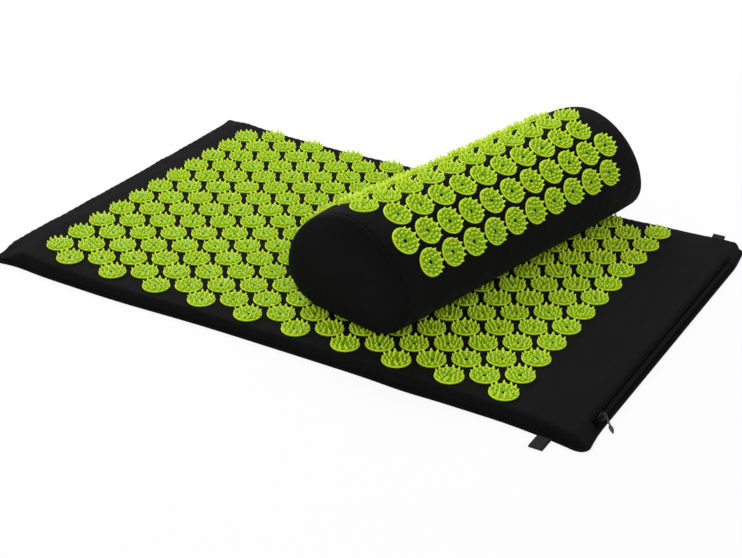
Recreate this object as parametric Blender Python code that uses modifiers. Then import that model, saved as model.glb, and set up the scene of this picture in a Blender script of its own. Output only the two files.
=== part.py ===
"""Acupressure mat with its neck pillow, in metres, +Z up.

The mat lies on its underside at z = 0, its long side along X, with its centre at the origin.
The pillow rests on the tips of the mat's spikes, turned about the vertical.
"""

import math

import bmesh
import bpy
import numpy as np
from mathutils import Matrix, Vector

# Clearance between pieces that touch on the real object
GAP = 0.0003
# How far one shape reaches into another where they are joined, and past a wall where it is cut
OVERRUN = 0.0003
CUT_OVERRUN = 0.003

# One spiked disc
DISC_DIAMETER = 0.026
DISC_THICKNESS = 0.0015
SPIKE_HEIGHT = 0.0038
DISC_SIDES = 8
DISC_TOP_SHARE = 0.96
DISC_DIMPLE = 0.0007
SPIKE_REACH_SHARE = 0.80
STRIP_THICKNESS = 0.0004

# Field of discs on the mat: columns along X, each with its discs along Y, half a place out of step
COLUMNS = 20
DISCS_IN_SHORT_COLUMN = 11
DISC_SPACE = 0.006
COLUMN_PITCH_SHARE = 0.977
LEFT_MARGIN = 0.0415
RIGHT_MARGIN = 0.0717
FRONT_MARGIN = 0.016
BACK_MARGIN = 0.017

# Mat cover and its foam
CLOTH = 0.001
FOAM_THICKNESS = 0.009
SEAM_FLANGE = 0.0025
EDGE_ROLL = 0.0045
ZIP_END_ROLL = 0.009
CORNER_RADIUS = 0.009
DRAW_IN_LONG = 0.0075
DRAW_IN_SHORT = 0.0025
DRAW_IN_POWER = 4
FOAM_SIDE_CLEARANCE = 0.0006
CORNER_STEPS = 4
SIDE_STEPS = 8
# How high each ring of the rolled edge lies and how far in, of the edge's height and the roll's width
ROLL_HEIGHT_SHARES = (0.0, 0.36, 0.66, 0.88, 1.0)
ROLL_INSET_SHARES = (0.0, 0.07, 0.25, 0.53, 1.0)

# Zip, the same kind in the mat and in the pillow
ZIP_TAPE_WIDTH = 0.004
ZIP_TAPE_THICKNESS = 0.0006
ZIP_TAPE_PARTING = 0.0012
ZIP_TAPE_TAIL = 0.006
ZIP_WINDOW_WIDTH = 0.0032
CHAIN_WIDTH = 0.004
CHAIN_THICKNESS = 0.0012
CHAIN_EDGE = 0.0003
STOP_LENGTH = 0.002
STOP_WIDTH = 0.0052
SLIDER_LENGTH = 0.0095
SLIDER_WALL = 0.0008
SLIDER_PLATE = 0.0008
BRIDGE_LENGTH = 0.0056
BRIDGE_BAR = 0.0009
BRIDGE_OPENING = 0.0018
TAB_EYE_HOLE_RADIUS = 0.001
TAB_EYE_WALL = 0.0008
TAB_NECK_WIDTH = 0.0014
TAB_EYE_SIDES = 12
TAB_EYE_WALL_SIDES = 6
TAB_LENGTH = 0.0175
TAB_NECK_SHARE = 0.5
TAB_WIDTH = 0.005
TAB_THICKNESS = 0.0012
TAB_STATIONS = 11

# Zip of the mat, in its right end
MAT_ZIP_END_MARGIN = 0.0415
MAT_ZIP_HEIGHT = 0.0057
TAB_FLOOR_CLEARANCE = 0.0006
MAT_TAB_LEAN = math.radians(35)

# Folded webbing tabs in the long seams
WEBBING_WIDTH = 0.012
WEBBING_LENGTH = 0.0175
WEBBING_THICKNESS = 0.0024
WEBBING_FROM_RIGHT_END = 0.035
WEBBING_FOLD_STEPS = 5

# Pillow
PILLOW_ROWS = 7
DISCS_IN_SHORT_ROW = 10
PILLOW_DISC_SPACE = 0.004
PILLOW_ROW_PITCH_SHARE = 1.0
PILLOW_ROW_SHIFT = 0.0025
PILLOW_NEAR_MARGIN = 0.011
PILLOW_FAR_MARGIN = 0.021
PILLOW_WIDTH = 0.143
PILLOW_HEIGHT = 0.0992
PILLOW_WIDEST_HEIGHT = 0.032
PILLOW_BASE_HALF_WIDTH = 0.035
DOME_POWER = 1.82
PILLOW_HEM = 0.003
PILLOW_SIDE_FACETS = 4
PILLOW_END_TAPER = 0.012
PILLOW_END_SHARE = 0.982
PILLOW_END_BULGE = 0.008
PILLOW_END_LIP = 0.0006
PILLOW_FOAM_CLEARANCE = 0.0018
# Rings of the bulging end panel: size of each ring, and how far it bulges
END_RING_SHARES = (0.965, 0.88, 0.5)
END_BULGE_SHARES = (0.5, 0.9, 1.0)
PILLOW_X = 0.0928
PILLOW_Y = 0.0303
PILLOW_TURN = math.radians(78.17)
PILLOW_ZIP_LENGTH = 0.300
PILLOW_ZIP_FACET = 1

# Sizes worked out from the ones above
DISC_PITCH = DISC_DIAMETER + DISC_SPACE
COLUMN_PITCH = DISC_DIAMETER * COLUMN_PITCH_SHARE
MAT_LENGTH = LEFT_MARGIN + (COLUMNS - 1) * COLUMN_PITCH + DISC_DIAMETER + RIGHT_MARGIN
MAT_WIDTH = FRONT_MARGIN + DISCS_IN_SHORT_COLUMN * DISC_PITCH + DISC_DIAMETER + BACK_MARGIN
FIELD_X = (LEFT_MARGIN - RIGHT_MARGIN) / 2
FIELD_Y = (FRONT_MARGIN - BACK_MARGIN) / 2
MAT_FOAM_BOTTOM = CLOTH + GAP
MAT_FLANGE_TOP = MAT_FOAM_BOTTOM + CLOTH
MAT_TOP = MAT_FOAM_BOTTOM + FOAM_THICKNESS + GAP + CLOTH
STRIP_WIDTH = COLUMN_PITCH - 2 * GAP
SPIKE_TOP = STRIP_THICKNESS + DISC_THICKNESS + SPIKE_HEIGHT
TAPE_BASE = GAP
CHAIN_BASE = TAPE_BASE + ZIP_TAPE_THICKNESS + GAP
SLIDER_PLATE_BASE = CHAIN_BASE + CHAIN_THICKNESS + GAP
SLIDER_TOP = SLIDER_PLATE_BASE + SLIDER_PLATE
BAR_HEIGHT = SLIDER_TOP + BRIDGE_OPENING + BRIDGE_BAR / 2
TAB_NECK = TAB_EYE_HOLE_RADIUS + TAB_EYE_WALL / 2
SLIDER_HALF_WIDTH = CHAIN_WIDTH / 2 + GAP + SLIDER_WALL
PILLOW_BASE = MAT_TOP + GAP + SPIKE_TOP + GAP
PILLOW_DISC_PITCH = DISC_DIAMETER + PILLOW_DISC_SPACE
PILLOW_ROW_PITCH = DISC_DIAMETER * PILLOW_ROW_PITCH_SHARE
PILLOW_FIELD = DISCS_IN_SHORT_ROW * PILLOW_DISC_PITCH + DISC_DIAMETER
PILLOW_TUBE = PILLOW_NEAR_MARGIN + PILLOW_FIELD + PILLOW_FAR_MARGIN
PILLOW_FIELD_X = (PILLOW_NEAR_MARGIN - PILLOW_FAR_MARGIN) / 2
PILLOW_HEM_HEIGHT = CLOTH + GAP

BLACK_COTTON = ((0.012, 0.012, 0.013), 0.85, 0.0)
LIME_PLASTIC = ((0.36, 0.60, 0.012), 0.38, 0.0)
WHITE_FOAM = ((0.75, 0.75, 0.72), 0.9, 0.0)
BLACK_TAPE = ((0.018, 0.018, 0.019), 0.75, 0.0)
BLACK_NYLON = ((0.02, 0.02, 0.021), 0.45, 0.0)
GREY_METAL = ((0.30, 0.30, 0.31), 0.35, 1.0)
GREY_RUBBER = ((0.055, 0.058, 0.06), 0.55, 0.0)


def clear_scene():
    for obj in list(bpy.data.objects):
        bpy.data.objects.remove(obj, do_unlink=True)


def new_collection(name):
    collection = bpy.data.collections.new(name)
    bpy.context.scene.collection.children.link(collection)
    return collection


def finish_material(name, look):
    colour, roughness, metallic = look
    material = bpy.data.materials.get(name) or bpy.data.materials.new(name)
    material.use_nodes = True
    shader = material.node_tree.nodes["Principled BSDF"]
    shader.inputs["Base Color"].default_value = (*colour, 1.0)
    shader.inputs["Roughness"].default_value = roughness
    shader.inputs["Metallic"].default_value = metallic
    return material


def piece(name, bm, material, parent, matrix=Matrix()):
    """Turns the bmesh into a named object under its parent."""
    mesh = bpy.data.meshes.new(name)
    bm.to_mesh(mesh)
    bm.free()
    mesh.materials.append(material)
    obj = bpy.data.objects.new(name, mesh)
    parts.objects.link(obj)
    obj.parent = parent
    obj.matrix_local = matrix
    return obj


def empty(name, matrix, parent=None):
    obj = bpy.data.objects.new(name, None)
    parts.objects.link(obj)
    obj.parent = parent
    obj.matrix_local = matrix
    return obj


def helper(obj):
    """Makes the object a cutter or a joined shape, which isn't a piece of its own."""
    parts.objects.unlink(obj)
    cutters.objects.link(obj)
    obj.hide_render = True
    obj.display_type = "WIRE"
    return obj


def boolean(obj, other, operation):
    modifier = obj.modifiers.new(operation.lower() + "_" + other.name, "BOOLEAN")
    modifier.operation = operation
    modifier.object = helper(other)
    modifier.solver = "EXACT"


def thicken(obj, thickness):
    modifier = obj.modifiers.new("cloth", "SOLIDIFY")
    modifier.thickness = thickness
    modifier.offset = -1
    modifier.use_even_offset = True


def box(low, high):
    """A box primitive between two corners."""
    bm = bmesh.new()
    low, high = Vector(low), Vector(high)
    place = Matrix.Translation((low + high) / 2) @ Matrix.Diagonal((*(high - low), 1))
    bmesh.ops.create_cube(bm, size=1, matrix=place)
    return bm


def loft(rings, around=True, cap_first=False, cap_last=False):
    """Quads between rings of as many points, closed around or open, with flat caps where asked."""
    bm = bmesh.new()
    rows = [[bm.verts.new(point) for point in ring] for ring in rings]
    count = len(rows[0])
    for lower, upper in zip(rows, rows[1:]):
        for i in range(count if around else count - 1):
            j = (i + 1) % count
            bm.faces.new((lower[i], lower[j], upper[j], upper[i]))
    if cap_first:
        bm.faces.new(rows[0][::-1])
    if cap_last:
        bm.faces.new(rows[-1])
    return bm


def prism(outline, low, high):
    """A flat outline in X and Y, extruded from z = low to z = high."""
    bm = bmesh.new()
    face = bm.faces.new([bm.verts.new((x, y, low)) for x, y in outline])
    extruded = bmesh.ops.extrude_face_region(bm, geom=[face], use_keep_orig=True)
    raised = [item for item in extruded["geom"] if isinstance(item, bmesh.types.BMVert)]
    bmesh.ops.translate(bm, verts=raised, vec=(0.0, 0.0, high - low))
    bmesh.ops.recalc_face_normals(bm, faces=bm.faces)
    return bm


def mat_outline(side_inset, zip_end_inset):
    """Points of the mat's outline, anticlockwise: a rectangle with round corners, its sides drawn in."""
    left = -MAT_LENGTH / 2 + side_inset
    right = MAT_LENGTH / 2 - zip_end_inset
    front = -MAT_WIDTH / 2 + side_inset
    back = MAT_WIDTH / 2 - side_inset
    corners = (
        (right, front, -math.pi / 2),
        (right, back, 0.0),
        (left, back, math.pi / 2),
        (left, front, math.pi),
    )
    points = []
    for index, corner in enumerate(corners):
        turns = [step / CORNER_STEPS for step in range(CORNER_STEPS + 1)]
        points += [corner_point(corner, share) for share in turns]
        last = Vector(points[-1])
        ahead = Vector(corner_point(corners[(index + 1) % len(corners)], 0.0))
        points += [last.lerp(ahead, step / SIDE_STEPS) for step in range(1, SIDE_STEPS)]
    return [drawn_in(x, y) for x, y in points]


def corner_point(corner, share):
    """A point of the round corner at (x, y), a share of the quarter turn past its start angle."""
    x, y, start = corner
    angle = start + share * math.pi / 2
    return (
        x - math.copysign(CORNER_RADIUS, x) + CORNER_RADIUS * math.cos(angle),
        y - math.copysign(CORNER_RADIUS, y) + CORNER_RADIUS * math.sin(angle),
    )


def drawn_in(x, y):
    """Pulls a point of the outline inwards, least at the corners. The zip end stays straight."""
    along_x = 2 * x / MAT_LENGTH
    along_y = 2 * y / MAT_WIDTH
    return (
        x - DRAW_IN_SHORT * min(along_x, 0.0) * (1 - along_y**DRAW_IN_POWER),
        y - DRAW_IN_LONG * along_y * (1 - along_x**DRAW_IN_POWER),
    )


def roll_rings(bottom, top, start_inset):
    """Rings up the mat's rolled edge. The right end rises on a straight slope, which carries the zip."""
    rings = []
    for height_share, inset_share in zip(ROLL_HEIGHT_SHARES, ROLL_INSET_SHARES):
        outline = mat_outline(
            start_inset + EDGE_ROLL * inset_share, start_inset + ZIP_END_ROLL * height_share
        )
        z = bottom + (top - bottom) * height_share
        rings.append([(x, y, z) for x, y in outline])
    return rings


def make_mat_cover():
    outline = mat_outline(0.0, 0.0)
    piece("mat_bottom_panel", prism(outline, 0.0, CLOTH), cotton, mat)
    seam = [(x, y, MAT_FLANGE_TOP) for x, y in outline]
    rings = [seam] + roll_rings(MAT_FLANGE_TOP, MAT_TOP, SEAM_FLANGE)
    top = piece("mat_top_panel", loft(rings, cap_last=True), cotton, mat)
    thicken(top, CLOTH)
    return top


def make_mat_foam():
    inset = SEAM_FLANGE + CLOTH + FOAM_SIDE_CLEARANCE
    rings = roll_rings(MAT_FOAM_BOTTOM, MAT_FOAM_BOTTOM + FOAM_THICKNESS, inset)
    piece("mat_foam_core", loft(rings, cap_first=True, cap_last=True), foam, mat)


def spiked_disc(bm, x):
    """One disc on the row's strip: a tapered plate whose top rises into a ring of spikes."""
    radius = DISC_DIAMETER / 2
    base = STRIP_THICKNESS - OVERRUN
    top = STRIP_THICKNESS + DISC_THICKNESS
    place = Matrix.Translation((x, 0.0, (base + top) / 2))
    turned = place @ Matrix.Rotation(math.pi / DISC_SIDES, 4, "Z")
    made = bmesh.ops.create_cone(
        bm,
        cap_ends=True,
        segments=DISC_SIDES,
        radius1=radius,
        radius2=radius * DISC_TOP_SHARE,
        depth=top - base,
        matrix=turned,
    )
    faces = {face for vert in made["verts"] for face in vert.link_faces}
    cap = max(faces, key=lambda face: face.calc_center_median().z)
    poked = bmesh.ops.poke(bm, faces=[cap])
    poked["verts"][0].co.z -= DISC_DIMPLE
    for wedge in poked["faces"]:
        middle = wedge.calc_center_median() - Vector((x, 0.0, 0.0))
        outward = Vector((middle.x, middle.y, 0.0)).normalized()
        tip = bmesh.ops.poke(bm, faces=[wedge])["verts"][0]
        tip.co = Vector((x, 0.0, top + SPIKE_HEIGHT)) + outward * radius * SPIKE_REACH_SHARE


def disc_row(name, count, pitch, parent, matrix):
    """A row of discs along X, bonded to a strip of backing whose underside is at z = 0."""
    half_length = (count - 1) * pitch / 2 + DISC_DIAMETER / 2
    half_width = STRIP_WIDTH / 2
    strip = box((-half_length, -half_width, 0.0), (half_length, half_width, STRIP_THICKNESS))
    row = piece(name, strip, plastic, parent, matrix)
    discs = bmesh.new()
    for place in range(count):
        spiked_disc(discs, (place - (count - 1) / 2) * pitch)
    boolean(row, piece(name + "_discs", discs, plastic, parent, matrix), "UNION")


def make_mat_discs():
    for column in range(COLUMNS):
        x = FIELD_X + (column - (COLUMNS - 1) / 2) * COLUMN_PITCH
        count = DISCS_IN_SHORT_COLUMN + column % 2
        place = Matrix.Translation((x, FIELD_Y, MAT_TOP + GAP))
        turned = place @ Matrix.Rotation(math.pi / 2, 4, "Z")
        disc_row(f"mat_disc_row_{column + 1:02d}", count, DISC_PITCH, mat, turned)


def seam_at(x):
    """How far the long seams lie from the middle of the mat at x."""
    back_half = sorted(point for point in mat_outline(0.0, 0.0) if point[1] > 0)
    return float(np.interp(x, *zip(*back_half)))


def make_webbing_tabs():
    """Webbing folded in two, its fold outside and its ends against the seam."""
    x = MAT_LENGTH / 2 - WEBBING_FROM_RIGHT_END
    seam_y = max(seam_at(x - WEBBING_WIDTH / 2), seam_at(x + WEBBING_WIDTH / 2))
    radius = WEBBING_THICKNESS / 2
    length = WEBBING_LENGTH - radius
    profile = [(0.0, -radius), (length, -radius)]
    for step in range(1, WEBBING_FOLD_STEPS):
        angle = -math.pi / 2 + step * math.pi / WEBBING_FOLD_STEPS
        profile.append((length + radius * math.cos(angle), radius * math.sin(angle)))
    profile += [(length, radius), (0.0, radius)]
    for name, side in (("mat_webbing_tab_front", -1), ("mat_webbing_tab_back", 1)):
        bm = prism(profile, -WEBBING_WIDTH / 2, WEBBING_WIDTH / 2)
        outward = Vector((0.0, side, 0.0))
        upward = Vector((0.0, 0.0, 1.0))
        start = Vector((x, side * (seam_y + GAP), radius))
        piece(name, bm, webbing, mat, basis(outward, upward, start))


def basis(first, second, origin):
    """The frame at origin whose X and Y axes are first and second."""
    third = first.cross(second)
    frame = Matrix((first, second, third)).transposed().to_4x4()
    return Matrix.Translation(origin) @ frame


def pull_tab(name, parent, lean):
    """A leaf on a slender neck, with an eye round the slider's bar, whose axis is Y. It runs along X."""
    side = []
    for station in range(TAB_STATIONS + 1):
        share = station / TAB_STATIONS
        leaf_share = max(0.0, share - TAB_NECK_SHARE) / (1 - TAB_NECK_SHARE)
        swell = math.sin(math.pi * leaf_share**0.7) ** 0.8
        half = max(TAB_WIDTH / 2 * swell, TAB_NECK_WIDTH / 2 * (1 - leaf_share))
        side.append((share * (TAB_LENGTH - TAB_NECK), half))
    outline = side[:-1] + [(side[-1][0], 0.0)] + [(x, -y) for x, y in side[-2::-1]]
    turn = Matrix.Translation((TAB_NECK, 0.0, 0.0)) @ Matrix.Rotation(-lean, 4, "Z")
    leaf = prism(outline[::-1], -TAB_THICKNESS / 2, TAB_THICKNESS / 2)
    tab = piece(name, leaf, rubber, parent, turn)
    bpy.ops.mesh.primitive_torus_add(
        major_segments=TAB_EYE_SIDES,
        minor_segments=TAB_EYE_WALL_SIDES,
        major_radius=TAB_NECK,
        minor_radius=TAB_EYE_WALL / 2,
    )
    made = bpy.context.object
    eye = bmesh.new()
    eye.from_mesh(made.data)
    bpy.data.objects.remove(made, do_unlink=True)
    bmesh.ops.rotate(eye, verts=eye.verts, matrix=Matrix.Rotation(math.pi / 2, 3, "X"))
    boolean(tab, piece(name + "_eye", eye, rubber, parent), "UNION")
    return tab


def slider(name, parent):
    """A channel over the chain, which runs along X, with a bridge on top for the tab's eye."""
    inner = CHAIN_WIDTH / 2 + GAP
    outline = [
        (-SLIDER_HALF_WIDTH, CHAIN_BASE),
        (-inner, CHAIN_BASE),
        (-inner, SLIDER_PLATE_BASE),
        (inner, SLIDER_PLATE_BASE),
        (inner, CHAIN_BASE),
        (SLIDER_HALF_WIDTH, CHAIN_BASE),
        (SLIDER_HALF_WIDTH, SLIDER_TOP),
        (-SLIDER_HALF_WIDTH, SLIDER_TOP),
    ]
    across = Vector((0.0, 1.0, 0.0))
    upward = Vector((0.0, 0.0, 1.0))
    channel = prism(outline, -SLIDER_LENGTH / 2, SLIDER_LENGTH / 2)
    bmesh.ops.transform(channel, matrix=basis(across, upward, Vector()), verts=channel.verts)
    body = piece(name, channel, metal, parent)
    half = BRIDGE_LENGTH / 2
    low = SLIDER_TOP - OVERRUN
    high = BAR_HEIGHT + BRIDGE_BAR / 2
    opening = BAR_HEIGHT - BRIDGE_BAR / 2
    arch = [
        (-half, low),
        (-half + BRIDGE_BAR, low),
        (-half + BRIDGE_BAR, opening),
        (half - BRIDGE_BAR, opening),
        (half - BRIDGE_BAR, low),
        (half, low),
        (half, high),
        (-half, high),
    ]
    along = Vector((1.0, 0.0, 0.0))
    bridge = prism(arch, -BRIDGE_BAR / 2, BRIDGE_BAR / 2)
    bmesh.ops.transform(bridge, matrix=basis(along, upward, Vector()), verts=bridge.verts)
    boolean(body, piece(name + "_bridge", bridge, metal, parent), "UNION")
    return body


def tab_turn(frame, lean):
    """How far a tab turns on its bar from lying down the panel.

    It falls until it lies on the level z = 0 of the frame's parent, or hangs straight down.
    """
    drop = (frame @ Vector((0.0, 0.0, BAR_HEIGHT))).z - TAB_FLOOR_CLEARANCE
    reach = TAB_NECK + (TAB_LENGTH - TAB_NECK) * math.cos(lean)
    half = TAB_THICKNESS / 2
    fall = math.pi / 2
    if drop < reach:
        fall = math.asin(drop / math.hypot(reach, half)) - math.atan2(half, reach)
    return fall + math.asin(frame[2][2]) - math.pi / 2


def zip_set(prefix, length, panel, parent, frame, lean):
    """A closed zip along X of its frame, whose Z is the panel's outward normal.

    The slider starts at the low end of X, and its tab leans to that side.
    """
    place = empty(prefix + "_zip_frame", frame, parent)
    half = length / 2
    inner = ZIP_TAPE_PARTING / 2
    outer = inner + ZIP_TAPE_WIDTH
    tail = half + STOP_LENGTH + ZIP_TAPE_TAIL
    tape_top = TAPE_BASE + ZIP_TAPE_THICKNESS
    upper = box((-tail, inner, TAPE_BASE), (tail, outer, tape_top))
    lower = box((-tail, -outer, TAPE_BASE), (tail, -inner, tape_top))
    piece(prefix + "_zip_tape_upper", upper, tape, place)
    piece(prefix + "_zip_tape_lower", lower, tape, place)
    chain_top = CHAIN_BASE + CHAIN_THICKNESS
    chain = box((-half, -CHAIN_WIDTH / 2, CHAIN_BASE), (half, CHAIN_WIDTH / 2, chain_top))
    row = piece(prefix + "_zip_chain", chain, nylon, place)
    edges = row.modifiers.new("edges", "BEVEL")
    edges.width = CHAIN_EDGE
    edges.segments = 1
    for name, side in (("_zip_stop_closed", -1), ("_zip_stop_open", 1)):
        ends = sorted((side * (half + GAP), side * (half + GAP + STOP_LENGTH)))
        stop_half = STOP_WIDTH / 2
        stop = box((ends[0], -stop_half, CHAIN_BASE), (ends[1], stop_half, chain_top + GAP))
        piece(prefix + name, stop, metal, place)
    slider_frame = empty(
        prefix + "_zip_slider_frame",
        Matrix.Translation((-half + SLIDER_LENGTH / 2, 0.0, 0.0)),
        place,
    )
    slider(prefix + "_zip_slider", slider_frame)
    bar = Matrix.Translation((0.0, 0.0, BAR_HEIGHT))
    sideways = basis(Vector((0.0, -1.0, 0.0)), Vector((1.0, 0.0, 0.0)), Vector())
    tab_frame = empty(
        prefix + "_zip_tab_frame",
        bar @ sideways @ Matrix.Rotation(tab_turn(frame, lean), 4, "Y"),
        slider_frame,
    )
    pull_tab(prefix + "_zip_pull_tab", tab_frame, lean)
    window_half = ZIP_WINDOW_WIDTH / 2
    window = box((-half, -window_half, -CLOTH - CUT_OVERRUN), (half, window_half, CUT_OVERRUN))
    boolean(panel, piece(prefix + "_zip_window", window, cotton, place), "DIFFERENCE")


def make_mat_zip(panel):
    """The zip lies on the straight slope of the right end."""
    rise = MAT_TOP - MAT_FLANGE_TOP
    slope = math.atan2(rise, ZIP_END_ROLL)
    up_slope = Vector((-math.cos(slope), 0.0, math.sin(slope)))
    along = Vector((0.0, 1.0, 0.0))
    inset = SEAM_FLANGE + (MAT_ZIP_HEIGHT - MAT_FLANGE_TOP) / math.tan(slope)
    x = MAT_LENGTH / 2 - inset
    length = MAT_WIDTH - 2 * MAT_ZIP_END_MARGIN
    origin = Vector((x, 0.0, MAT_ZIP_HEIGHT))
    zip_set("mat", length, panel, mat, basis(along, up_slope, origin), MAT_TAB_LEAN)


def pillow_curve():
    """Fine points of half the pillow's section, from the top of the dome down to the hem.

    The dome is a quarter of a superellipse down to the widest height, and below it a quarter of an
    ellipse rolls in to the flat base. The first column is the distance from the middle.
    """
    half = PILLOW_WIDTH / 2
    angle = np.linspace(0.0, math.pi / 2, 600)
    dome_y = half * np.sin(angle) ** (2 / DOME_POWER)
    dome_rise = PILLOW_HEIGHT - PILLOW_WIDEST_HEIGHT
    dome_z = PILLOW_WIDEST_HEIGHT + dome_rise * np.cos(angle) ** (2 / DOME_POWER)
    roll_y = PILLOW_BASE_HALF_WIDTH + (half - PILLOW_BASE_HALF_WIDTH) * np.cos(angle)
    roll_z = PILLOW_WIDEST_HEIGHT - (PILLOW_WIDEST_HEIGHT - PILLOW_HEM_HEIGHT) * np.sin(angle)
    y = np.concatenate([dome_y, roll_y[1:]])
    z = np.concatenate([dome_z, roll_z[1:]])
    travelled = np.concatenate([[0.0], np.cumsum(np.hypot(np.diff(y), np.diff(z)))])
    return travelled, y, z


def pillow_section():
    """The section's corners from the front hem to the back hem: a flat facet for each row of discs."""
    travelled, y, z = pillow_curve()
    last = travelled[-1]
    shift = PILLOW_ROW_SHIFT
    edges = [(row - PILLOW_ROWS / 2) * PILLOW_ROW_PITCH + shift for row in range(PILLOW_ROWS + 1)]
    steps = PILLOW_SIDE_FACETS
    front = np.linspace(-last, edges[0], steps, endpoint=False)
    back = np.linspace(last, edges[-1], steps, endpoint=False)[::-1]
    section = []
    for at in (*front, *edges, *back):
        width = np.interp(abs(at), travelled, y)
        section.append((math.copysign(width, at), float(np.interp(abs(at), travelled, z))))
    return section


def facet_frame(section, index, x=0.0):
    """The frame in the middle of a facet: X along the pillow, Z its outward normal."""
    start, end = (Vector((0.0, *section[i])) for i in (index, index + 1))
    along = Vector((1.0, 0.0, 0.0))
    return basis(along, (end - start).normalized(), (start + end) / 2 + Vector((x, 0.0, 0.0)))


def pillow_ring(section, x, share):
    """The section at one station, drawn in to a share of its size above the hem."""
    return [(x, y * share, PILLOW_HEM_HEIGHT + (z - PILLOW_HEM_HEIGHT) * share) for y, z in section]


def make_pillow_cover(section):
    half = PILLOW_TUBE / 2
    stations = (
        (-half, PILLOW_END_SHARE),
        (-half + PILLOW_END_TAPER, 1.0),
        (half - PILLOW_END_TAPER, 1.0),
        (half, PILLOW_END_SHARE),
    )
    rings = [pillow_ring(section, x, share) for x, share in stations]
    skin = loft(rings[::-1], around=False)
    top = piece("pillow_top_panel", skin, cotton, pillow)
    thicken(top, CLOTH)
    base_half = PILLOW_BASE_HALF_WIDTH + PILLOW_HEM
    plate = box((-half, -base_half, 0.0), (half, base_half, CLOTH))
    piece("pillow_bottom_panel", plate, cotton, pillow)
    inner = PILLOW_FOAM_CLEARANCE
    width_share = 1 - inner / (PILLOW_WIDTH / 2)
    foam_base = PILLOW_HEM_HEIGHT + CLOTH + GAP
    lift_share = (PILLOW_HEIGHT - inner - foam_base) / (PILLOW_HEIGHT - PILLOW_HEM_HEIGHT)
    foam_rings = []
    for x, share in stations:
        ring = pillow_ring(section, x - math.copysign(GAP, x), share)
        foam_rings.append(
            [(x, y * width_share, foam_base + (z - PILLOW_HEM_HEIGHT) * lift_share) for x, y, z in ring]
        )
    block = loft(foam_rings, cap_first=True, cap_last=True)
    bmesh.ops.recalc_face_normals(block, faces=block.faces)
    piece("pillow_foam_core", block, foam, pillow)
    for name, side in (("pillow_end_panel_near", -1), ("pillow_end_panel_far", 1)):
        make_end_panel(name, side, section, base_half)
    return top


def make_end_panel(name, side, section, base_half):
    """A D-shaped panel that bulges outwards, its rim against the end of the wrapped panel."""
    rim = pillow_ring(section, 0.0, PILLOW_END_SHARE)[1:-1]
    outline = [(-base_half, 0.0)] + [(y, z) for _, y, z in rim] + [(base_half, 0.0)]
    start = PILLOW_TUBE / 2 + GAP
    centre = (PILLOW_HEIGHT + PILLOW_WIDEST_HEIGHT) / 3
    shares = (1.0, 1.0) + END_RING_SHARES
    lip = start + PILLOW_END_LIP
    swell = PILLOW_END_BULGE - PILLOW_END_LIP
    bulges = [start, lip] + [lip + swell * share for share in END_BULGE_SHARES]
    rings = []
    for share, bulge in zip(shares, bulges):
        rings.append([(side * bulge, y * share, centre + (z - centre) * share) for y, z in outline])
    bm = loft(rings, cap_last=True)
    bmesh.ops.recalc_face_normals(bm, faces=bm.faces)
    if sum(face.normal.x * side * face.calc_area() for face in bm.faces) < 0:
        bmesh.ops.reverse_faces(bm, faces=bm.faces)
    thicken(piece(name, bm, cotton, pillow), CLOTH)


def make_pillow_discs(section):
    for row in range(PILLOW_ROWS):
        frame = facet_frame(section, PILLOW_SIDE_FACETS + row, PILLOW_FIELD_X)
        count = DISCS_IN_SHORT_ROW + row % 2
        lift = Matrix.Translation((0.0, 0.0, GAP))
        disc_row(f"pillow_disc_row_{row + 1:02d}", count, PILLOW_DISC_PITCH, pillow, frame @ lift)


def make_pillow_zip(section, panel):
    """The zip lies on a facet of the back side, under the last row of discs."""
    facet = facet_frame(section, PILLOW_SIDE_FACETS + PILLOW_ROWS + PILLOW_ZIP_FACET)
    turned = facet @ Matrix.Rotation(math.pi, 4, "Z")
    zip_set("pillow", PILLOW_ZIP_LENGTH, panel, pillow, turned, 0.0)


def main():
    make_mat_discs()
    make_mat_foam()
    make_webbing_tabs()
    make_mat_zip(make_mat_cover())
    section = pillow_section()
    make_pillow_discs(section)
    make_pillow_zip(section, make_pillow_cover(section))
    for obj in parts.objects:
        if obj.type == "MESH":
            obj.data.set_sharp_from_angle(angle=math.radians(35))


clear_scene()
parts = new_collection("acupressure_mat")
cutters = new_collection("cutters")
cotton = finish_material("black_cotton", BLACK_COTTON)
webbing = finish_material("black_webbing", BLACK_TAPE)
plastic = finish_material("lime_plastic", LIME_PLASTIC)
foam = finish_material("white_foam", WHITE_FOAM)
tape = finish_material("zip_tape", BLACK_TAPE)
nylon = finish_material("zip_nylon", BLACK_NYLON)
metal = finish_material("zip_metal", GREY_METAL)
rubber = finish_material("pull_tab_rubber", GREY_RUBBER)
mat = empty("mat", Matrix())
pillow = empty(
    "pillow",
    Matrix.Translation((PILLOW_X, PILLOW_Y, PILLOW_BASE)) @ Matrix.Rotation(PILLOW_TURN, 4, "Z"),
)
main()
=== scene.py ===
# %% [markdown]
# # An acupressure mat and its neck pillow
#
# The real set is two cushions of black cotton over foam, covered with round green plastic discs.
# Each disc is one moulding with a crown of small spikes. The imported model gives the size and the
# place of each piece, so this file only has to make them look real.

import math

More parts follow.
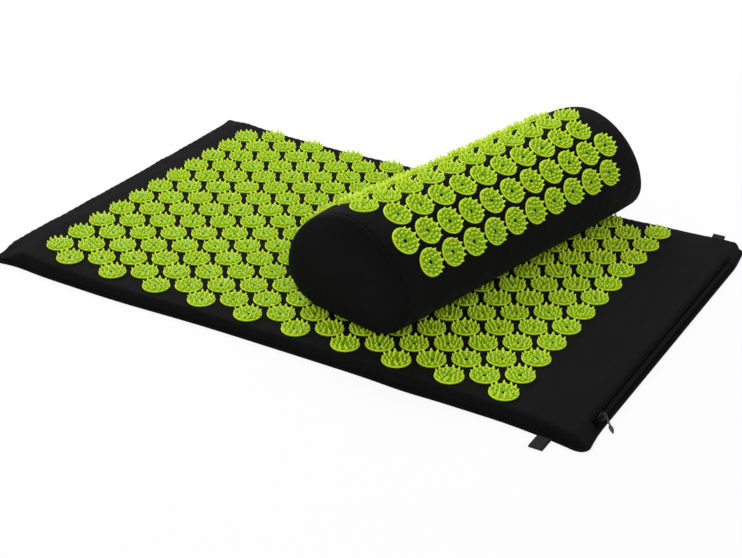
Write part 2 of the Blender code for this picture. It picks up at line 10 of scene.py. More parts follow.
import bpy
import numpy as np
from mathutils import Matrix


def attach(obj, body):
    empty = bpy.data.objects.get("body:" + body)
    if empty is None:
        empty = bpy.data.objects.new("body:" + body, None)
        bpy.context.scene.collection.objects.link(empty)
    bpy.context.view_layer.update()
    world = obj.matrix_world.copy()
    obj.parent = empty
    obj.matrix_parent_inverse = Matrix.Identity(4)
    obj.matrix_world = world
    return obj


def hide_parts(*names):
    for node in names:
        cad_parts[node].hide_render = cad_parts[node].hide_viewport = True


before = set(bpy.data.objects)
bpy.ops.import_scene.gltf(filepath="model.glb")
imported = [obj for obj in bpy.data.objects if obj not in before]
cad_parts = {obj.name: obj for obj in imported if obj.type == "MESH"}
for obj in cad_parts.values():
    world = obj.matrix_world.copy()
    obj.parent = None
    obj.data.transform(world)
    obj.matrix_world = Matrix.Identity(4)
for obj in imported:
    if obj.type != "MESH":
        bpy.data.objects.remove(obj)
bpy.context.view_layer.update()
MM = 0.001
print("model loaded:", len(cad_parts), "pieces")

# %% [markdown]
# ## Camera
#
# The mat was photographed from its front left corner, from above. The camera's place comes from
# the grid of discs, whose spacing on the mat is regular. A long lens keeps the far discs nearly
# as large as the near ones, as they are in the picture.

# %% Camera
camera_data = bpy.data.cameras.new("camera")
camera_data.lens = 75.917
camera_data.sensor_width = 36.0
camera_data.clip_end = 50.0
camera = bpy.data.objects.new("camera", camera_data)
camera.location = (0.67056, -1.18657, 0.69568)
camera.rotation_euler = [math.radians(angle) for angle in (62.1845, -1.0238, 30.0705)]
bpy.context.scene.collection.objects.link(camera)
bpy.context.scene.camera = camera
print("camera lens:", camera_data.lens)

# %% [markdown]
# ## Meshes from grids
#
# Most pieces here are a function of two parameters, so their points form a grid. The helpers
# below only need the number of rows and columns to know every face. Where the last column
# meets the first, as round a disc, the grid wraps. Shapes are worked out in millimetres, and
# become metres when the mesh is made.


# %% Grid helpers
def grid_faces(rows, columns, wrap=False):
    """Corner numbers of every quad of a grid: the point, the next in its row, and the two above."""
    numbers = np.arange(rows * columns).reshape(rows, columns)
    if wrap:
        numbers = np.hstack([numbers, numbers[:, :1]])
    corners = numbers[:-1, :-1], numbers[:-1, 1:], numbers[1:, 1:], numbers[1:, :-1]
    return np.stack(corners, -1).reshape(-1, 4)


def tube_faces(rows, columns):
    """Faces of a closed tube: a grid that wraps, and one face over each end."""
    ring = np.arange(columns)[None]
    return [grid_faces(rows, columns, wrap=True), ring[:, ::-1], ring + (rows - 1) * columns]


def turned_over(groups):
    """The same faces, looking the other way."""
    return [group[:, ::-1] for group in groups]


def repeat_faces(faces, points_each, copies):
    """The same faces once for each copy, each copy's numbers starting after the last."""
    starts = np.arange(copies)[:, None, None] * points_each
    return (faces[None] + starts).reshape(-1, faces.shape[1])


def joined(*shapes):
    """Several shapes as one: all their points, and each one's faces counted on from the last."""
    points, groups = [], []
    for places, faces in shapes:
        groups += [group + sum(map(len, points)) for group in faces]
        points.append(places.reshape(-1, 3))
    return np.vstack(points), groups


print("quads of a grid of 4 by 5 points:", len(grid_faces(4, 5)))

# %% Pieces
finishes = {}


def make_piece(name, shape, slot, body, node=None, finish=None, rise=None):
    """Makes a mesh object, lets it ride on its body, and hides the node that it stands for.

    The shape is its points in millimetres, its groups of faces and perhaps its flat cut. Its
    finish is the one kept under the slot's name, unless another is given.
    """
    points, faces, *cut = shape
    mesh = bpy.data.meshes.new(name)
    places = (points * MM).reshape(-1, 3).tolist()
    mesh.from_pydata(places, [], [face for group in faces for face in group.tolist()])
    if cut:
        corner = np.empty(len(mesh.loops), dtype=np.int32)
        mesh.loops.foreach_get("vertex_index", corner)
        uv = (cut[0] * MM).reshape(-1, 2)[corner]
        mesh.uv_layers.new(name="cut").data.foreach_set("uv", uv.ravel())
    # rise carries the discs' painted light, which the lime finish reads.
    if rise is not None:
        mesh.attributes.new("rise", "FLOAT", "POINT").data.foreach_set("value", rise)
    mesh.polygons.foreach_set("use_smooth", np.ones(len(mesh.polygons), dtype=bool))
    mesh.materials.append(finish or finishes[slot])
    mesh.update()
    piece = bpy.data.objects.new(name, mesh)
    bpy.context.scene.collection.objects.link(piece)
    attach(piece, body)
    if node:
        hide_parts(node)
    return piece


# %% [markdown]
# ## Finishes
#
# Every finish is built from nodes. A small helper adds a node and sets its sockets, so that each
# finish reads as a short list of what the surface does.


# %% Node helpers
class Nodes:
    """A tree of nodes, and short ways to add to it."""

    def __init__(self, tree):
        self.tree = tree

    def feed(self, socket, value):
        """Gives a socket a value, or a link from another socket."""
        if isinstance(value, bpy.types.NodeSocket):
            self.tree.links.new(value, socket)
        else:
            socket.default_value = value

    def node(self, kind, settings=None, **sockets):
        """Adds a node. Its sockets are named, with _ for a space, or counted as i0, i1, i2."""
        made = self.tree.nodes.new(kind)
        for key, value in (settings or {}).items():
            setattr(made, key, value)
        for key, value in sockets.items():
            number = int(key[1:]) if key[1:].isdigit() else key.replace("_", " ")
            self.feed(made.inputs[number], value)
        return made

    def maths(self, operation, first, second=0.0, third=0.0):
        made = self.node("ShaderNodeMath", {"operation": operation}, i0=first, i1=second, i2=third)
        return made.outputs[0]

    def shown_instead(self, kinds, share, real, shown, output):
        """Ends the tree so that some kinds of ray see another shader, by a share from 0 to 1."""
        rays = self.node("ShaderNodeLightPath").outputs
        seen = rays[f"Is {kinds[0]} Ray"]
        for kind in kinds[1:]:
            seen = self.maths("MAXIMUM", seen, rays[f"Is {kind} Ray"])
        part = self.maths("MULTIPLY", seen, share)
        blend = self.node("ShaderNodeMixShader", i0=part, i1=real.outputs[0], i2=shown.outputs[0])
        self.feed(self.tree.nodes[output].inputs["Surface"], blend.outputs[0])


class Finish(Nodes):
    """A material, whose shader is fed from nodes."""

    def __init__(self, name, colour, roughness, metallic=0.0):
        self.material = bpy.data.materials.new(name)
        self.material.use_nodes = True
        super().__init__(self.material.node_tree)
        self.shader = self.tree.nodes["Principled BSDF"]
        self.put(Base_Color=(*colour, 1.0), Roughness=roughness, Metallic=metallic)

    def put(self, **sockets):
        """Sets or links the shader's own sockets."""
        for key, value in sockets.items():
            self.feed(self.shader.inputs[key.replace("_", " ")], value)

    def hump(self, run, rate):
        """Rounded humps side by side: the absolute value of sin(run * rate)."""
        return self.maths("ABSOLUTE", self.maths("SINE", self.maths("MULTIPLY", run, rate)))

    def tinted(self, colour, shade):
        """Makes the base colour one colour times a grey shade."""
        grey = self.node("ShaderNodeCombineColor", i0=shade, i1=shade, i2=shade).outputs[0]
        kind = {"data_type": "RGBA", "blend_type": "MULTIPLY"}
        mix = self.node("ShaderNodeMix", kind, Factor=1.0, i6=(*colour, 1.0), i7=grey)
        self.put(Base_Color=mix.outputs[2])

    def ramp(self, factor, *stops):
        """Colours at places along 0 to 1."""
        made = self.node("ShaderNodeValToRGB", Fac=factor)
        elements = made.color_ramp.elements
        while len(elements) < len(stops):
            elements.new(0.5)
        for element, (place, colour) in zip(elements, stops):
            element.position = place
            element.color = (*colour, 1.0)
        return made.outputs["Color"]

    def noise(self, where, scale, detail):
        return self.node("ShaderNodeTexNoise", Vector=where, Scale=scale, Detail=detail).outputs["Fac"]

    def place(self):
        return self.node("ShaderNodeTexCoord").outputs["Object"]

    def cut(self):
        """X and Y on the flat cut piece, in metres."""
        cut = self.node("ShaderNodeUVMap", {"uv_map": "cut"}).outputs["UV"]
        return self.node("ShaderNodeSeparateXYZ", Vector=cut).outputs

    def relief(self, height, distance, strength, under=None):
        """Adds a bump of a real depth in metres."""
        made = self.node("ShaderNodeBump", Height=height, Distance=distance, Strength=strength)
        if under is not None:
            self.feed(made.inputs["Normal"], under)
        return made.outputs["Normal"]


# %% [markdown]
# ### Black cotton
#
# The covers are sewn from black cotton canvas: a plain weave, in which each thread passes over
# one thread and under the next. The weave follows the cloth, so it reads the map of the flat cut
# piece, in metres. Sheen gives the soft grey edge that black cotton shows at a glancing angle.


# %% Woven cloth
def woven(name, colour, pitch, depth, roughness, sheen, variation):
    """Plain weave of threads: a hump across each thread, over and under like a chessboard."""
    cloth = Finish(name, colour, roughness)
    cut = cloth.cut()
    across, along = (cloth.maths("DIVIDE", cut[axis], pitch) for axis in "XY")
    chess = cloth.maths("ADD", cloth.maths("FLOOR", across), cloth.maths("FLOOR", along))
    over = cloth.maths("PINGPONG", chess, 1.0)
    under = cloth.maths("SUBTRACT", 1.0, over)
    warp = cloth.maths("MULTIPLY", cloth.hump(across, math.pi), over)
    weft = cloth.maths("MULTIPLY", cloth.hump(along, math.pi), under)
    height = cloth.maths("ADD", warp, weft)
    where = cloth.place()
    slub = cloth.noise(where, 900.0, 2.0)
    patches = cloth.noise(where, 14.0, 4.0)
    worn = cloth.maths("MULTIPLY_ADD", patches, variation, 1.0 - variation / 2)
    lint = cloth.maths("MULTIPLY_ADD", slub, 0.5, 0.75)
    # Painted shade and highlight: the colour is darker in the gaps between the threads and lighter on their
    # crowns.
    weave_shading = cloth.maths("MULTIPLY_ADD", height, 0.5, 0.65)
    cloth.tinted(colour, cloth.maths("MULTIPLY", cloth.maths("MULTIPLY", worn, lint), weave_shading))
    rolling = cloth.relief(cloth.noise(where, 60.0, 3.0), 0.0006, 0.25)
    fuzzy = cloth.relief(slub, 0.00008, 0.5, rolling)
    cloth.put(Normal=cloth.relief(height, depth, 0.8, fuzzy), Specular_IOR_Level=0.06)
    cloth.put(Sheen_Weight=sheen, Sheen_Roughness=0.45, Sheen_Tint=(0.75, 0.76, 0.8, 1.0))
    return cloth.material


BLACK = (0.0046, 0.0046, 0.0049)
finishes["black_cotton"] = woven("black_cotton_canvas", BLACK, 0.00055, 0.00012, 0.85, 0.03, 0.5)
print("made", finishes["black_cotton"].name)

# %% [markdown]
# ### Green plastic
#
# The discs are injection moulded in glossy lime green, and light goes a little way into the thin
# spikes. Each disc carries an attribute called rise, 0 at its underside and 1 at the tips, which
# the colour follows as painted light: painted shade darkens the underside, the hole and the valleys
# between the spikes, and painted highlight makes the raised rim and the tips paler.

# %% Lime plastic
# Colours along rise: painted shade low down and in the valleys, painted highlight at the tips.
LIME_PAINTED_LIGHT = (
    (0.0, (0.10, 0.22, 0.002)),
    (0.34, (0.27, 0.50, 0.004)),
    (0.62, (0.66, 0.93, 0.022)),
    (1.0, (0.90, 1.0, 0.13)),
)
lime = Finish("lime_plastic", (0.58, 0.80, 0.03), 0.34)
painted_light_rise = lime.node("ShaderNodeAttribute", {"attribute_name": "rise"}).outputs["Fac"]
mottle = lime.noise(lime.place(), 350.0, 3.0)
lime.put(
    Base_Color=lime.ramp(painted_light_rise, *LIME_PAINTED_LIGHT),
    Roughness=lime.maths("MULTIPLY_ADD", mottle, 0.16, 0.33),
    Normal=lime.relief(mottle, 0.00004, 0.3),
    Subsurface_Weight=0.12,
    Subsurface_Radius=(0.6, 1.0, 0.1),
    Subsurface_Scale=0.0012,
    Specular_IOR_Level=0.28,
)
finishes["lime_plastic"] = lime.material
print("made", lime.material.name)

# %% [markdown]
# ### Trims
#
# The tabs are a heavier webbing, the zip tapes a fine ribbed tape, and the zip's teeth and slider
# are small nylon and metal parts. The foam inside is never seen, but it has open pores.


# %% Ribbed tapes
def ribbed(name, colour, pitch, depth, roughness):
    """Tape with ribs across it: a rounded hump at each rib, broken by the threads' own grain."""
    tape = Finish(name, colour, roughness)
    cut = tape.cut()
    ribs = tape.hump(cut["X"], math.pi / pitch)
    threads = tape.hump(cut["Y"], math.pi / (1.7 * pitch))
    height = tape.maths("ADD", ribs, tape.maths("MULTIPLY", threads, 0.6))
    # Painted shade: the colour is darker in the grooves between the ribs and between the threads.
    light = tape.maths("MULTIPLY_ADD", height, 0.35, 0.55)
    grain = tape.maths("MULTIPLY_ADD", tape.noise(tape.place(), 700.0, 3.0), 0.5, 0.75)
    tape.tinted(colour, tape.maths("MULTIPLY", light, grain))
    tape.put(Normal=tape.relief(height, depth, 0.9), Specular_IOR_Level=0.05)
    return tape.material


finishes["black_webbing"] = ribbed("black_webbing", (0.030, 0.030, 0.031), 0.0011, 0.00025, 0.7)
finishes["zip_tape"] = ribbed("zip_tape", (0.0018, 0.0018, 0.0019), 0.0005, 0.0001, 0.9)
print("made", ", ".join(finishes))


# %% Hard trims and foam
def moulded(name, colour, roughness, metallic, grain, depth):
    """A hard finish with a fine grain in its gloss and relief."""
    hard = Finish(name, colour, roughness, metallic)
    speck = hard.noise(hard.place(), grain, 4.0)
    gloss = hard.maths("MULTIPLY_ADD", speck, 0.3, roughness - 0.15)
    hard.put(Roughness=gloss, Normal=hard.relief(speck, depth, 0.5), Specular_IOR_Level=0.15)
    finishes[name] = hard.material


moulded("zip_nylon", (0.003, 0.003, 0.0032), 0.6, 0.0, 900.0, 0.00004)
moulded("zip_metal", (0.007, 0.007, 0.0075), 0.5, 0.4, 500.0, 0.00003)
moulded("pull_tab_rubber", (0.075, 0.075, 0.077), 0.5, 0.0, 1200.0, 0.00005)
moulded("sewing_thread", (0.006, 0.006, 0.0065), 0.65, 0.0, 2500.0, 0.0001)

foam = Finish("white_foam", (0.74, 0.74, 0.70), 0.95)
pores = foam.node("ShaderNodeTexVoronoi", Vector=foam.place(), Scale=900.0).outputs["Distance"]
# Painted shade: the colour is darker in the pores.
foam.put(
    Normal=foam.relief(pores, 0.0005, 0.8),
    Base_Color=foam.ramp(pores, (0.0, (0.45, 0.45, 0.41)), (0.35, (0.76, 0.76, 0.72))),
)
finishes["white_foam"] = foam.material
print("finishes:", len(finishes))

# %% [markdown]
# ## The mat's cover
#
# The cover is a flat bag. Its top panel is one piece of cotton that lies on the foam, rolls down
# the sides, and is sewn to the bottom panel along a narrow flange. At the right end it comes down
# on a straight slope that holds the zip. One grid makes the whole panel: the sides follow a
# profile, and each corner turns that profile round a small arc.

# %% Lines of points
def travel(path):
    """The distance along a line of points, from its first point to each."""
    return np.concatenate([[0.0], np.cumsum(np.linalg.norm(np.diff(path, axis=0), axis=1))])


def points_at(distances, path):
    """The points of a line at given distances along it."""
    travelled = travel(path)
    return np.stack([np.interp(distances, travelled, column) for column in path.T], -1)


def smooth_curve(points, count):
    """Evenly spaced points on a line rounded by cutting its corners three times, and its length."""
    for _ in range(3):
        first = 0.75 * points[:-1] + 0.25 * points[1:]
        second = 0.25 * points[:-1] + 0.75 * points[1:]
        middle = np.stack([first, second], 1).reshape(-1, 2)
        points = np.vstack([points[:1], middle, points[-1:]])
    length = travel(points)[-1]
    return points_at(np.linspace(0.0, length, count), points), length


def smoothstep(value, low, high):
    """0 below low, 1 above high, and a smooth S between."""
    t = np.clip((value - low) / (high - low), 0.0, 1.0)
    return t * t * (3 - 2 * t)


print("a smooth step, half way:", smoothstep(5.0, 0.0, 10.0))

# %% Edges of the mat's cover
HALF_LENGTH, HALF_WIDTH = 310.9, 205.5
FLANGE, FLANGE_TOP, FLANGE_BEND = 2.5, 2.3, 0.8
MAT_TOP = 11.6
ROLL, ZIP_ROLL, CORNER_EXTRA = 4.5, 9.0, 1.5
CLOTH = 1.0
EDGE_STEPS = 15
ROLL_INSET_SHARES = np.array([0.0, 0.07, 0.25, 0.53, 1.0])
ROLL_HEIGHT_SHARES = np.array([0.0, 0.36, 0.66, 0.88, 1.0])
STRAIGHT_SHARES = np.array([0.0, 0.03, 0.06, 0.94, 1.0])
steps = np.linspace(0.0, 1.0, EDGE_STEPS)


def edge_profile(width, inset_shares, height_shares):
    """Inset and height up one edge of the cover, and its length along the cloth."""
    insets = FLANGE + width * inset_shares
    heights = FLANGE_TOP + (MAT_TOP - FLANGE_TOP) * height_shares
    start = np.array([[0.0, FLANGE_TOP], [FLANGE - FLANGE_BEND, FLANGE_TOP]])
    finish = np.array([[FLANGE + width + CORNER_EXTRA, MAT_TOP]])
    return smooth_curve(np.vstack([start, np.stack([insets, heights], 1), finish]), EDGE_STEPS)


rolled = edge_profile(ROLL, ROLL_INSET_SHARES, ROLL_HEIGHT_SHARES)
zip_slope = edge_profile(ZIP_ROLL, STRAIGHT_SHARES, STRAIGHT_SHARES)
print("cloth in a rolled edge and in the zip's slope:", np.round([rolled[1], zip_slope[1]], 1), "mm")


# %% Map of the whole panel
def axis_map(half, low_edge, high_edge, cell):
    """One direction of the grid, from the low edge across the flat part to the high edge.

    For each line of the grid it gives its place at the flat part's border or inside it, its step
    in either edge, from 0 at the flat part to 1 outside, and its distance along the cut cloth.
    """
    low, high = -half + low_edge[0][-1, 0], half - high_edge[0][-1, 0]
    middle = np.linspace(low, high, int(round((high - low) / cell)) + 1)[1:-1]
    place = np.concatenate([np.full(EDGE_STEPS, low), middle, np.full(EDGE_STEPS, high)])
    step = np.concatenate([steps[::-1], 0 * middle, steps])
    cut = np.concatenate([low - low_edge[1] * steps[::-1], middle, high + high_edge[1] * steps])
    return place, step, cut


def profile_at(edge, step):
    """How far outwards from the flat part, and how high, at a step from 0 (flat) to 1 (outside)."""
    inset, height = edge[0][::-1].T
    return np.interp(step, steps, inset[0] - inset), np.interp(step, steps, height)


def cover_grid(cell, left, right, side):
    """The panel's points and its flat cut. In a corner a square is bent to a quarter disc.

    The steps a and b of the two edges become a * sqrt(1 - b * b / 2) and b * sqrt(1 - a * a / 2).
    Together they are a vector whose length is the step along the profile, and whose angle turns
    the profile outwards.
    """
    px, a, cut_x = axis_map(HALF_LENGTH, left, right, cell)
    py, b, cut_y = axis_map(HALF_WIDTH, side, side, cell)
    a, b = np.meshgrid(a, b, indexing="ij")
    wide, deep = a * np.sqrt(1 - b**2 / 2), b * np.sqrt(1 - a**2 / 2)
    step, angle = np.hypot(wide, deep), np.arctan2(deep, wide)
    on_left = (px < 0)[:, None]
    (left_out, left_z), (right_out, right_z) = profile_at(left, step), profile_at(right, step)
    side_out, side_z = profile_at(side, step)
    x = px[:, None] + np.where(on_left, -left_out, right_out) * np.cos(angle)
    y = py[None, :] + np.sign(py)[None, :] * side_out * np.sin(angle)
    z = np.where(on_left, left_z, right_z) * np.cos(angle) ** 2 + side_z * np.sin(angle) ** 2
    return np.stack([x, y, z], -1), np.stack(np.meshgrid(cut_x, cut_y, indexing="ij"), -1)


# %% [markdown]
# ### Loose edges
#
# Sewn cloth never keeps its pattern's straight edges. The thread draws the sides in, and the foam
# doesn't reach into the corners, so these sink or stand out in small ears. Each such move is a
# smooth bell or power added to the straight outline.

# %% Loose edges of the cover
DRAW_IN_LONG, DRAW_IN_SHORT = 7.5, 2.5
PULLED_IN = 3.6
DROOP_FRONT_LEFT, DROOP_BACK_LEFT, DROOP_RIGHT = 0.90, 0.25, 0.12
EAR_LONG, EAR_WIDE, EAR_REACH = 3.4, 2.6, 20.0
FULL, FULL_REACH = 3.4, 18.0
FRONT_BELLS = (-160.0, 70.0, 3.6), (-285.0, 30.0, -4.6), (145.0, 30.0, 1.8), (240.0, 30.0, -1.2)
BACK_BELLS = (-150.0, 100.0, -3.8), (-222.0, 45.0, -2.0), (262.0, 80.0, 4.0)


def bulges(x, places):
    """A sum of bells along a side. Each has its middle, its width and how far it stands out."""
    return sum(out * np.exp(-(((x - middle) / width) ** 2)) for middle, width, out in places)


def pulled_in(x, y):
    """How far the right end comes in beyond the slider's reach, faded with the cube of X."""
    return PULLED_IN * smoothstep(y, 160.0, 206.0) * np.maximum(x / HALF_LENGTH, 0.0) ** 3


def drawn_in(points):
    """Draws the sides in and lets the corners down.

    The left end comes in by 2.5 mm and the long sides by 7.5 mm, each by 1 - t^4 of that at t from
    the middle to the corner. Loose bells make the long sides wander as sewn cloth does. The foam
    doesn't fill the corners, so the height above the seam falls there, by a droop of its own at
    each corner. The front right and back left corners are small ears, and both back ones are full.
    """
    x, y = points[..., 0].copy(), points[..., 1].copy()
    along_x, along_y = x / HALF_LENGTH, y / HALF_WIDTH
    corner = np.hypot(HALF_LENGTH - np.abs(x), HALF_WIDTH - np.abs(y))
    droop = np.where(x < 0, np.where(y < 0, DROOP_FRONT_LEFT, DROOP_BACK_LEFT), DROOP_RIGHT)
    droop = droop * (1 - smoothstep(corner, 5.0, 34.0))
    ear = np.exp(-((corner / EAR_REACH) ** 2)) * (x * y < 0)
    loose = np.where(along_y > 0, bulges(x, BACK_BELLS), bulges(x, FRONT_BELLS))
    points[..., 0] -= DRAW_IN_SHORT * np.minimum(along_x, 0.0) * (1 - along_y**4)
    points[..., 1] -= DRAW_IN_LONG * along_y * (1 - along_x**4)
    height = (points[..., 2] - FLANGE_TOP) / (MAT_TOP - FLANGE_TOP)
    full = FULL * np.exp(-((corner / FULL_REACH) ** 2)) * (y > 0) * np.clip(height, 0.0, 1.0)
    points[..., 0] += np.sign(x) * (EAR_LONG * ear + full) - pulled_in(x, y)
    points[..., 1] += along_y**3 * loose - np.sign(x) * EAR_WIDE * ear + full
    points[..., 2] -= np.maximum(points[..., 2] - FLANGE_TOP, 0.0) * droop
    return points


# %% [markdown]
# ### Discs decide where the cloth may rise
#
# The discs are bonded to the cloth, so the cloth is held flat beneath each one and is free to
# swell a little between them. The centres of the mat's discs are therefore worked out first:
# twenty rows, 25.4 mm apart, with eleven and twelve discs in turn.

# %% Centres of the mat's discs
MAT_ROWS = 20
ROW_PITCH = 25.402
MAT_DISC_PITCH = 32.0
FIELD = (-15.1, -0.5)
CROWN_LEFT, CROWN_RIGHT = 2.3, 0.8


def crown(x, y):
    """How far the foam swells above its flat top: 2.3 mm at the left, 0.8 mm at the right.

    Smooth steps along X raise both ends, and a step across Y takes the swell away at the sides.
    """
    left = CROWN_LEFT * smoothstep(-x, 130.0, 290.0) * (1 - 0.3 * smoothstep(y, 60.0, 190.0))
    right = CROWN_RIGHT * smoothstep(x, 120.0, 230.0) * (1 - smoothstep(x, 262.0, 290.0))
    sides = smoothstep(HALF_WIDTH - np.abs(y), 3.0, 17.0)
    return (left + right) * sides * smoothstep(x, -306.0, -280.0)


def mat_row_centres(row):
    """Centres of one row: x is fixed, and y steps by the pitch about the field's middle."""
    count = 11 + row % 2
    y = FIELD[1] + (np.arange(count) - (count - 1) / 2) * MAT_DISC_PITCH
    x = np.full(count, FIELD[0] + (row - (MAT_ROWS - 1) / 2) * ROW_PITCH)
    return np.stack([x, y, MAT_TOP + crown(x, y)], 1)


mat_centres = np.vstack([mat_row_centres(row) for row in range(MAT_ROWS)])
print("discs on the mat:", len(mat_centres))


# %% Waves of the cloth
def waves(x, y, length, seed, count=9):
    """Soft hills: a sum of sines in random directions, with wavelengths near the given one."""
    rng = np.random.default_rng(seed)
    total = 0.0
    for _ in range(count):
        turn, phase = rng.uniform(0, 2 * math.pi, 2)
        wavelength = length * rng.uniform(0.7, 1.6)
        run = x * math.cos(turn) + y * math.sin(turn)
        total = total + np.sin(2 * math.pi * run / wavelength + phase)
    return total / math.sqrt(count)


def nearest_disc(points, centres):
    """Distance in plan from each point to the nearest disc's centre."""
    best = np.full(points.shape[:-1], np.inf)
    for x, y, _ in centres:
        np.minimum(best, np.hypot(points[..., 0] - x, points[..., 1] - y), out=best)
    return best


# %% Closing a layer of cloth
def close_layers(upper, lower, cut, wrap=False):
    """Joins two grids of as many points into one closed shell, with a strip round the edge."""
    rows, columns = upper.shape[:2]
    count = rows * columns
    faces = grid_faces(rows, columns, wrap)[:, ::-1]
    number = np.arange(count).reshape(rows, columns)
    loops = [np.concatenate([number[:, 0], number[-1, 1:], number[-2::-1, -1], number[0, -2:0:-1]])]
    if wrap:
        loops = [number[0, ::-1], number[-1]]
    ahead = [np.roll(loop, -1) for loop in loops]
    strips = [np.stack([a, a + count, b + count, b], 1) for a, b in zip(loops, ahead)]
    points = np.concatenate([upper.reshape(-1, 3), lower.reshape(-1, 3)])
    return points, [faces, faces[:, ::-1] + count, *strips], np.concatenate([cut.reshape(-1, 2)] * 2)


def normals_of(points):
    """The unit normal at each point of a grid, from its neighbours along both directions."""
    normal = np.cross(np.gradient(points, axis=0), np.gradient(points, axis=1))
    return normal / (np.linalg.norm(normal, axis=-1, keepdims=True) + 1e-12)


# %% [markdown]
# ### The top panel
#
# Under its discs the cloth stays flat. In the bare margins it lies in very low waves, because
# foam is never quite even, and along the sewn edges the thread draws it into small puckers. The
# waves are sines in mixed directions, faded out near the discs and near the zip.

# %% Top panel of the mat
top, top_cut = cover_grid(3.2, rolled, zip_slope, rolled)
side_inset, left_inset = HALF_WIDTH - np.abs(top[..., 1]), top[..., 0] + HALF_LENGTH
inset = np.minimum(side_inset, left_inset)
top = drawn_in(top)
x, y = top[..., 0], top[..., 1]
top[..., 2] += crown(x, y) * smoothstep(top[..., 2], FLANGE_TOP, MAT_TOP)
free = smoothstep(nearest_disc(top, mat_centres), 13.5, 34.0)
pucker_run = np.where(side_inset < left_inset, x, y)
pucker = np.sin(2 * math.pi * pucker_run / 8.7 + 1.5 * waves(x, y, 60.0, 3))
near_seam = smoothstep(inset, 2.0, 4.0) * (1 - smoothstep(inset, 6.0, 15.0))
near_zip = 1 - smoothstep(x, HALF_LENGTH - 28.0, HALF_LENGTH - 15.0)
swell = 0.45 * waves(x, y, 75.0, 1) + 0.2 * waves(x, y, 30.0, 2)
left_margin = smoothstep(x, -306.0, -296.0) * (1 - smoothstep(x, -290.0, -268.0))
left_folds = left_margin * waves(x, 0.35 * y, 16.0, 5)
lift = free * near_zip * (swell + 0.35 * left_folds) + 0.25 * near_seam * near_zip * pucker
top = top + np.clip(lift, -0.35, 0.9)[..., None] * normals_of(top)
shape = close_layers(top, top - CLOTH * normals_of(top), top_cut)
mat_top = make_piece("mat_top_cloth", shape, "black_cotton", "mat", "mat_top_panel")
print("top panel's grid:", top.shape[:2], "highest point:", round(top[..., 2].max(), 2), "mm")

# %% [markdown]
# ### The bottom panel
#
# The underside is a flat panel of the same cotton, cut to the same outline. Its edge lifts a
# little to meet the flange of the top panel, where the two are sewn together.

# %% Bottom panel of the mat
BASE_EDGE = 12.0
flat_edge = np.stack([BASE_EDGE * steps, 1.22 - 0.22 * smoothstep(steps, 0.15, 0.6)], 1), BASE_EDGE
base, base_cut = cover_grid(8.0, flat_edge, flat_edge, flat_edge)
base = drawn_in(base)
shape = close_layers(base, base - np.array([0.0, 0.0, CLOTH]), base_cut)
mat_bottom = make_piece("mat_bottom_cloth", shape, "black_cotton", "mat", "mat_bottom_panel")
print("bottom panel's grid:", base.shape[:2])

# %% [markdown]
# ### The foam sheet
#
# A soft foam sheet fills the cover. It is hidden, but the part can be opened on a screen, so it
# is made as the same kind of grid: rounded sides, and a straight slope under the zip.

# %% Foam of the mat
FOAM_LOW, FOAM_EDGE, FOAM_RISE, FOAM_INSET = 1.4, 1.9, 8.0, 4.9
foam_top = drawn_in(cover_grid(8.0, rolled, zip_slope, rolled)[0])
share = (foam_top[..., 2:] - FLANGE_TOP) / (MAT_TOP - FLANGE_TOP)
plan = foam_top[..., :2] * (1 - FOAM_INSET / np.array([HALF_LENGTH, HALF_WIDTH]))
foam_upper = np.concatenate([plan, FOAM_EDGE + FOAM_RISE * share], -1)
foam_lower = np.concatenate([plan, FOAM_LOW + 0 * share], -1)
shape = close_layers(foam_upper, foam_lower, plan)
mat_foam = make_piece("mat_foam_sheet", shape, "white_foam", "mat", "mat_foam_core")
print("foam sheet:", np.round(np.ptp(foam_upper.reshape(-1, 3), axis=0)), "mm")

# %% [markdown]
# ## Stitches, teeth and other small bars
#
# A stitch and a zip tooth are both a short rounded bar, repeated hundreds of times. One function
# makes them all: a six-sided tube in four rings, closed at both ends, copied to every place at
# once. Each bar has only a few dozen faces.


# %% Small bars
def bars(centres, along, up, length, width, height):
    """Rounded bars. Each runs along one unit vector, and its section is an ellipse about the other."""
    along, up = (np.broadcast_to(way, centres.shape) for way in (along, up))
    turn = np.arange(6) * math.pi / 3
    run = np.array([-0.5, -0.36, 0.36, 0.5])[:, None] * length + 0 * turn
    girth = np.array([0.55, 1.0, 1.0, 0.55])[:, None]
    side, level = girth * np.cos(turn) * width / 2, girth * np.sin(turn) * height / 2
    shape = np.stack([run, side, level], -1).reshape(-1, 3)
    axes = np.stack([along, np.cross(up, along), up], 1)
    points = centres[:, None] + np.einsum("pk,nkc->npc", shape, axes)
    return points, [repeat_faces(group, 24, len(centres)) for group in tube_faces(4, 6)]


def walk_round(path, pitch):
    """Places at an even pitch round a closed line of points, and the direction of travel there."""
    path = np.vstack([path, path[:1]])
    length = travel(path)[-1]
    count = int(length / pitch)
    at = (np.arange(count) + 0.5) * length / count
    where = points_at(at, path)
    way = points_at(at + 0.3, path) - where
    return where, way / np.linalg.norm(way, axis=1, keepdims=True)


# %% Stitches of the mat's seam
ring = np.concatenate([top[1:-1, 1], top[-2, 2:-1], top[-3:0:-1, -2], top[1, -3:1:-1]])
seam_places, seam_way = walk_round(ring + np.array([0.0, 0.0, 0.06]), 3.4)
shape = bars(seam_places, seam_way, np.array([0.0, 0.0, 1.0]), 2.5, 0.5, 0.4)
make_piece("mat_seam_stitches", shape, "black_cotton", "mat", finish=finishes["sewing_thread"])
print("stitches round the mat:", len(seam_places))
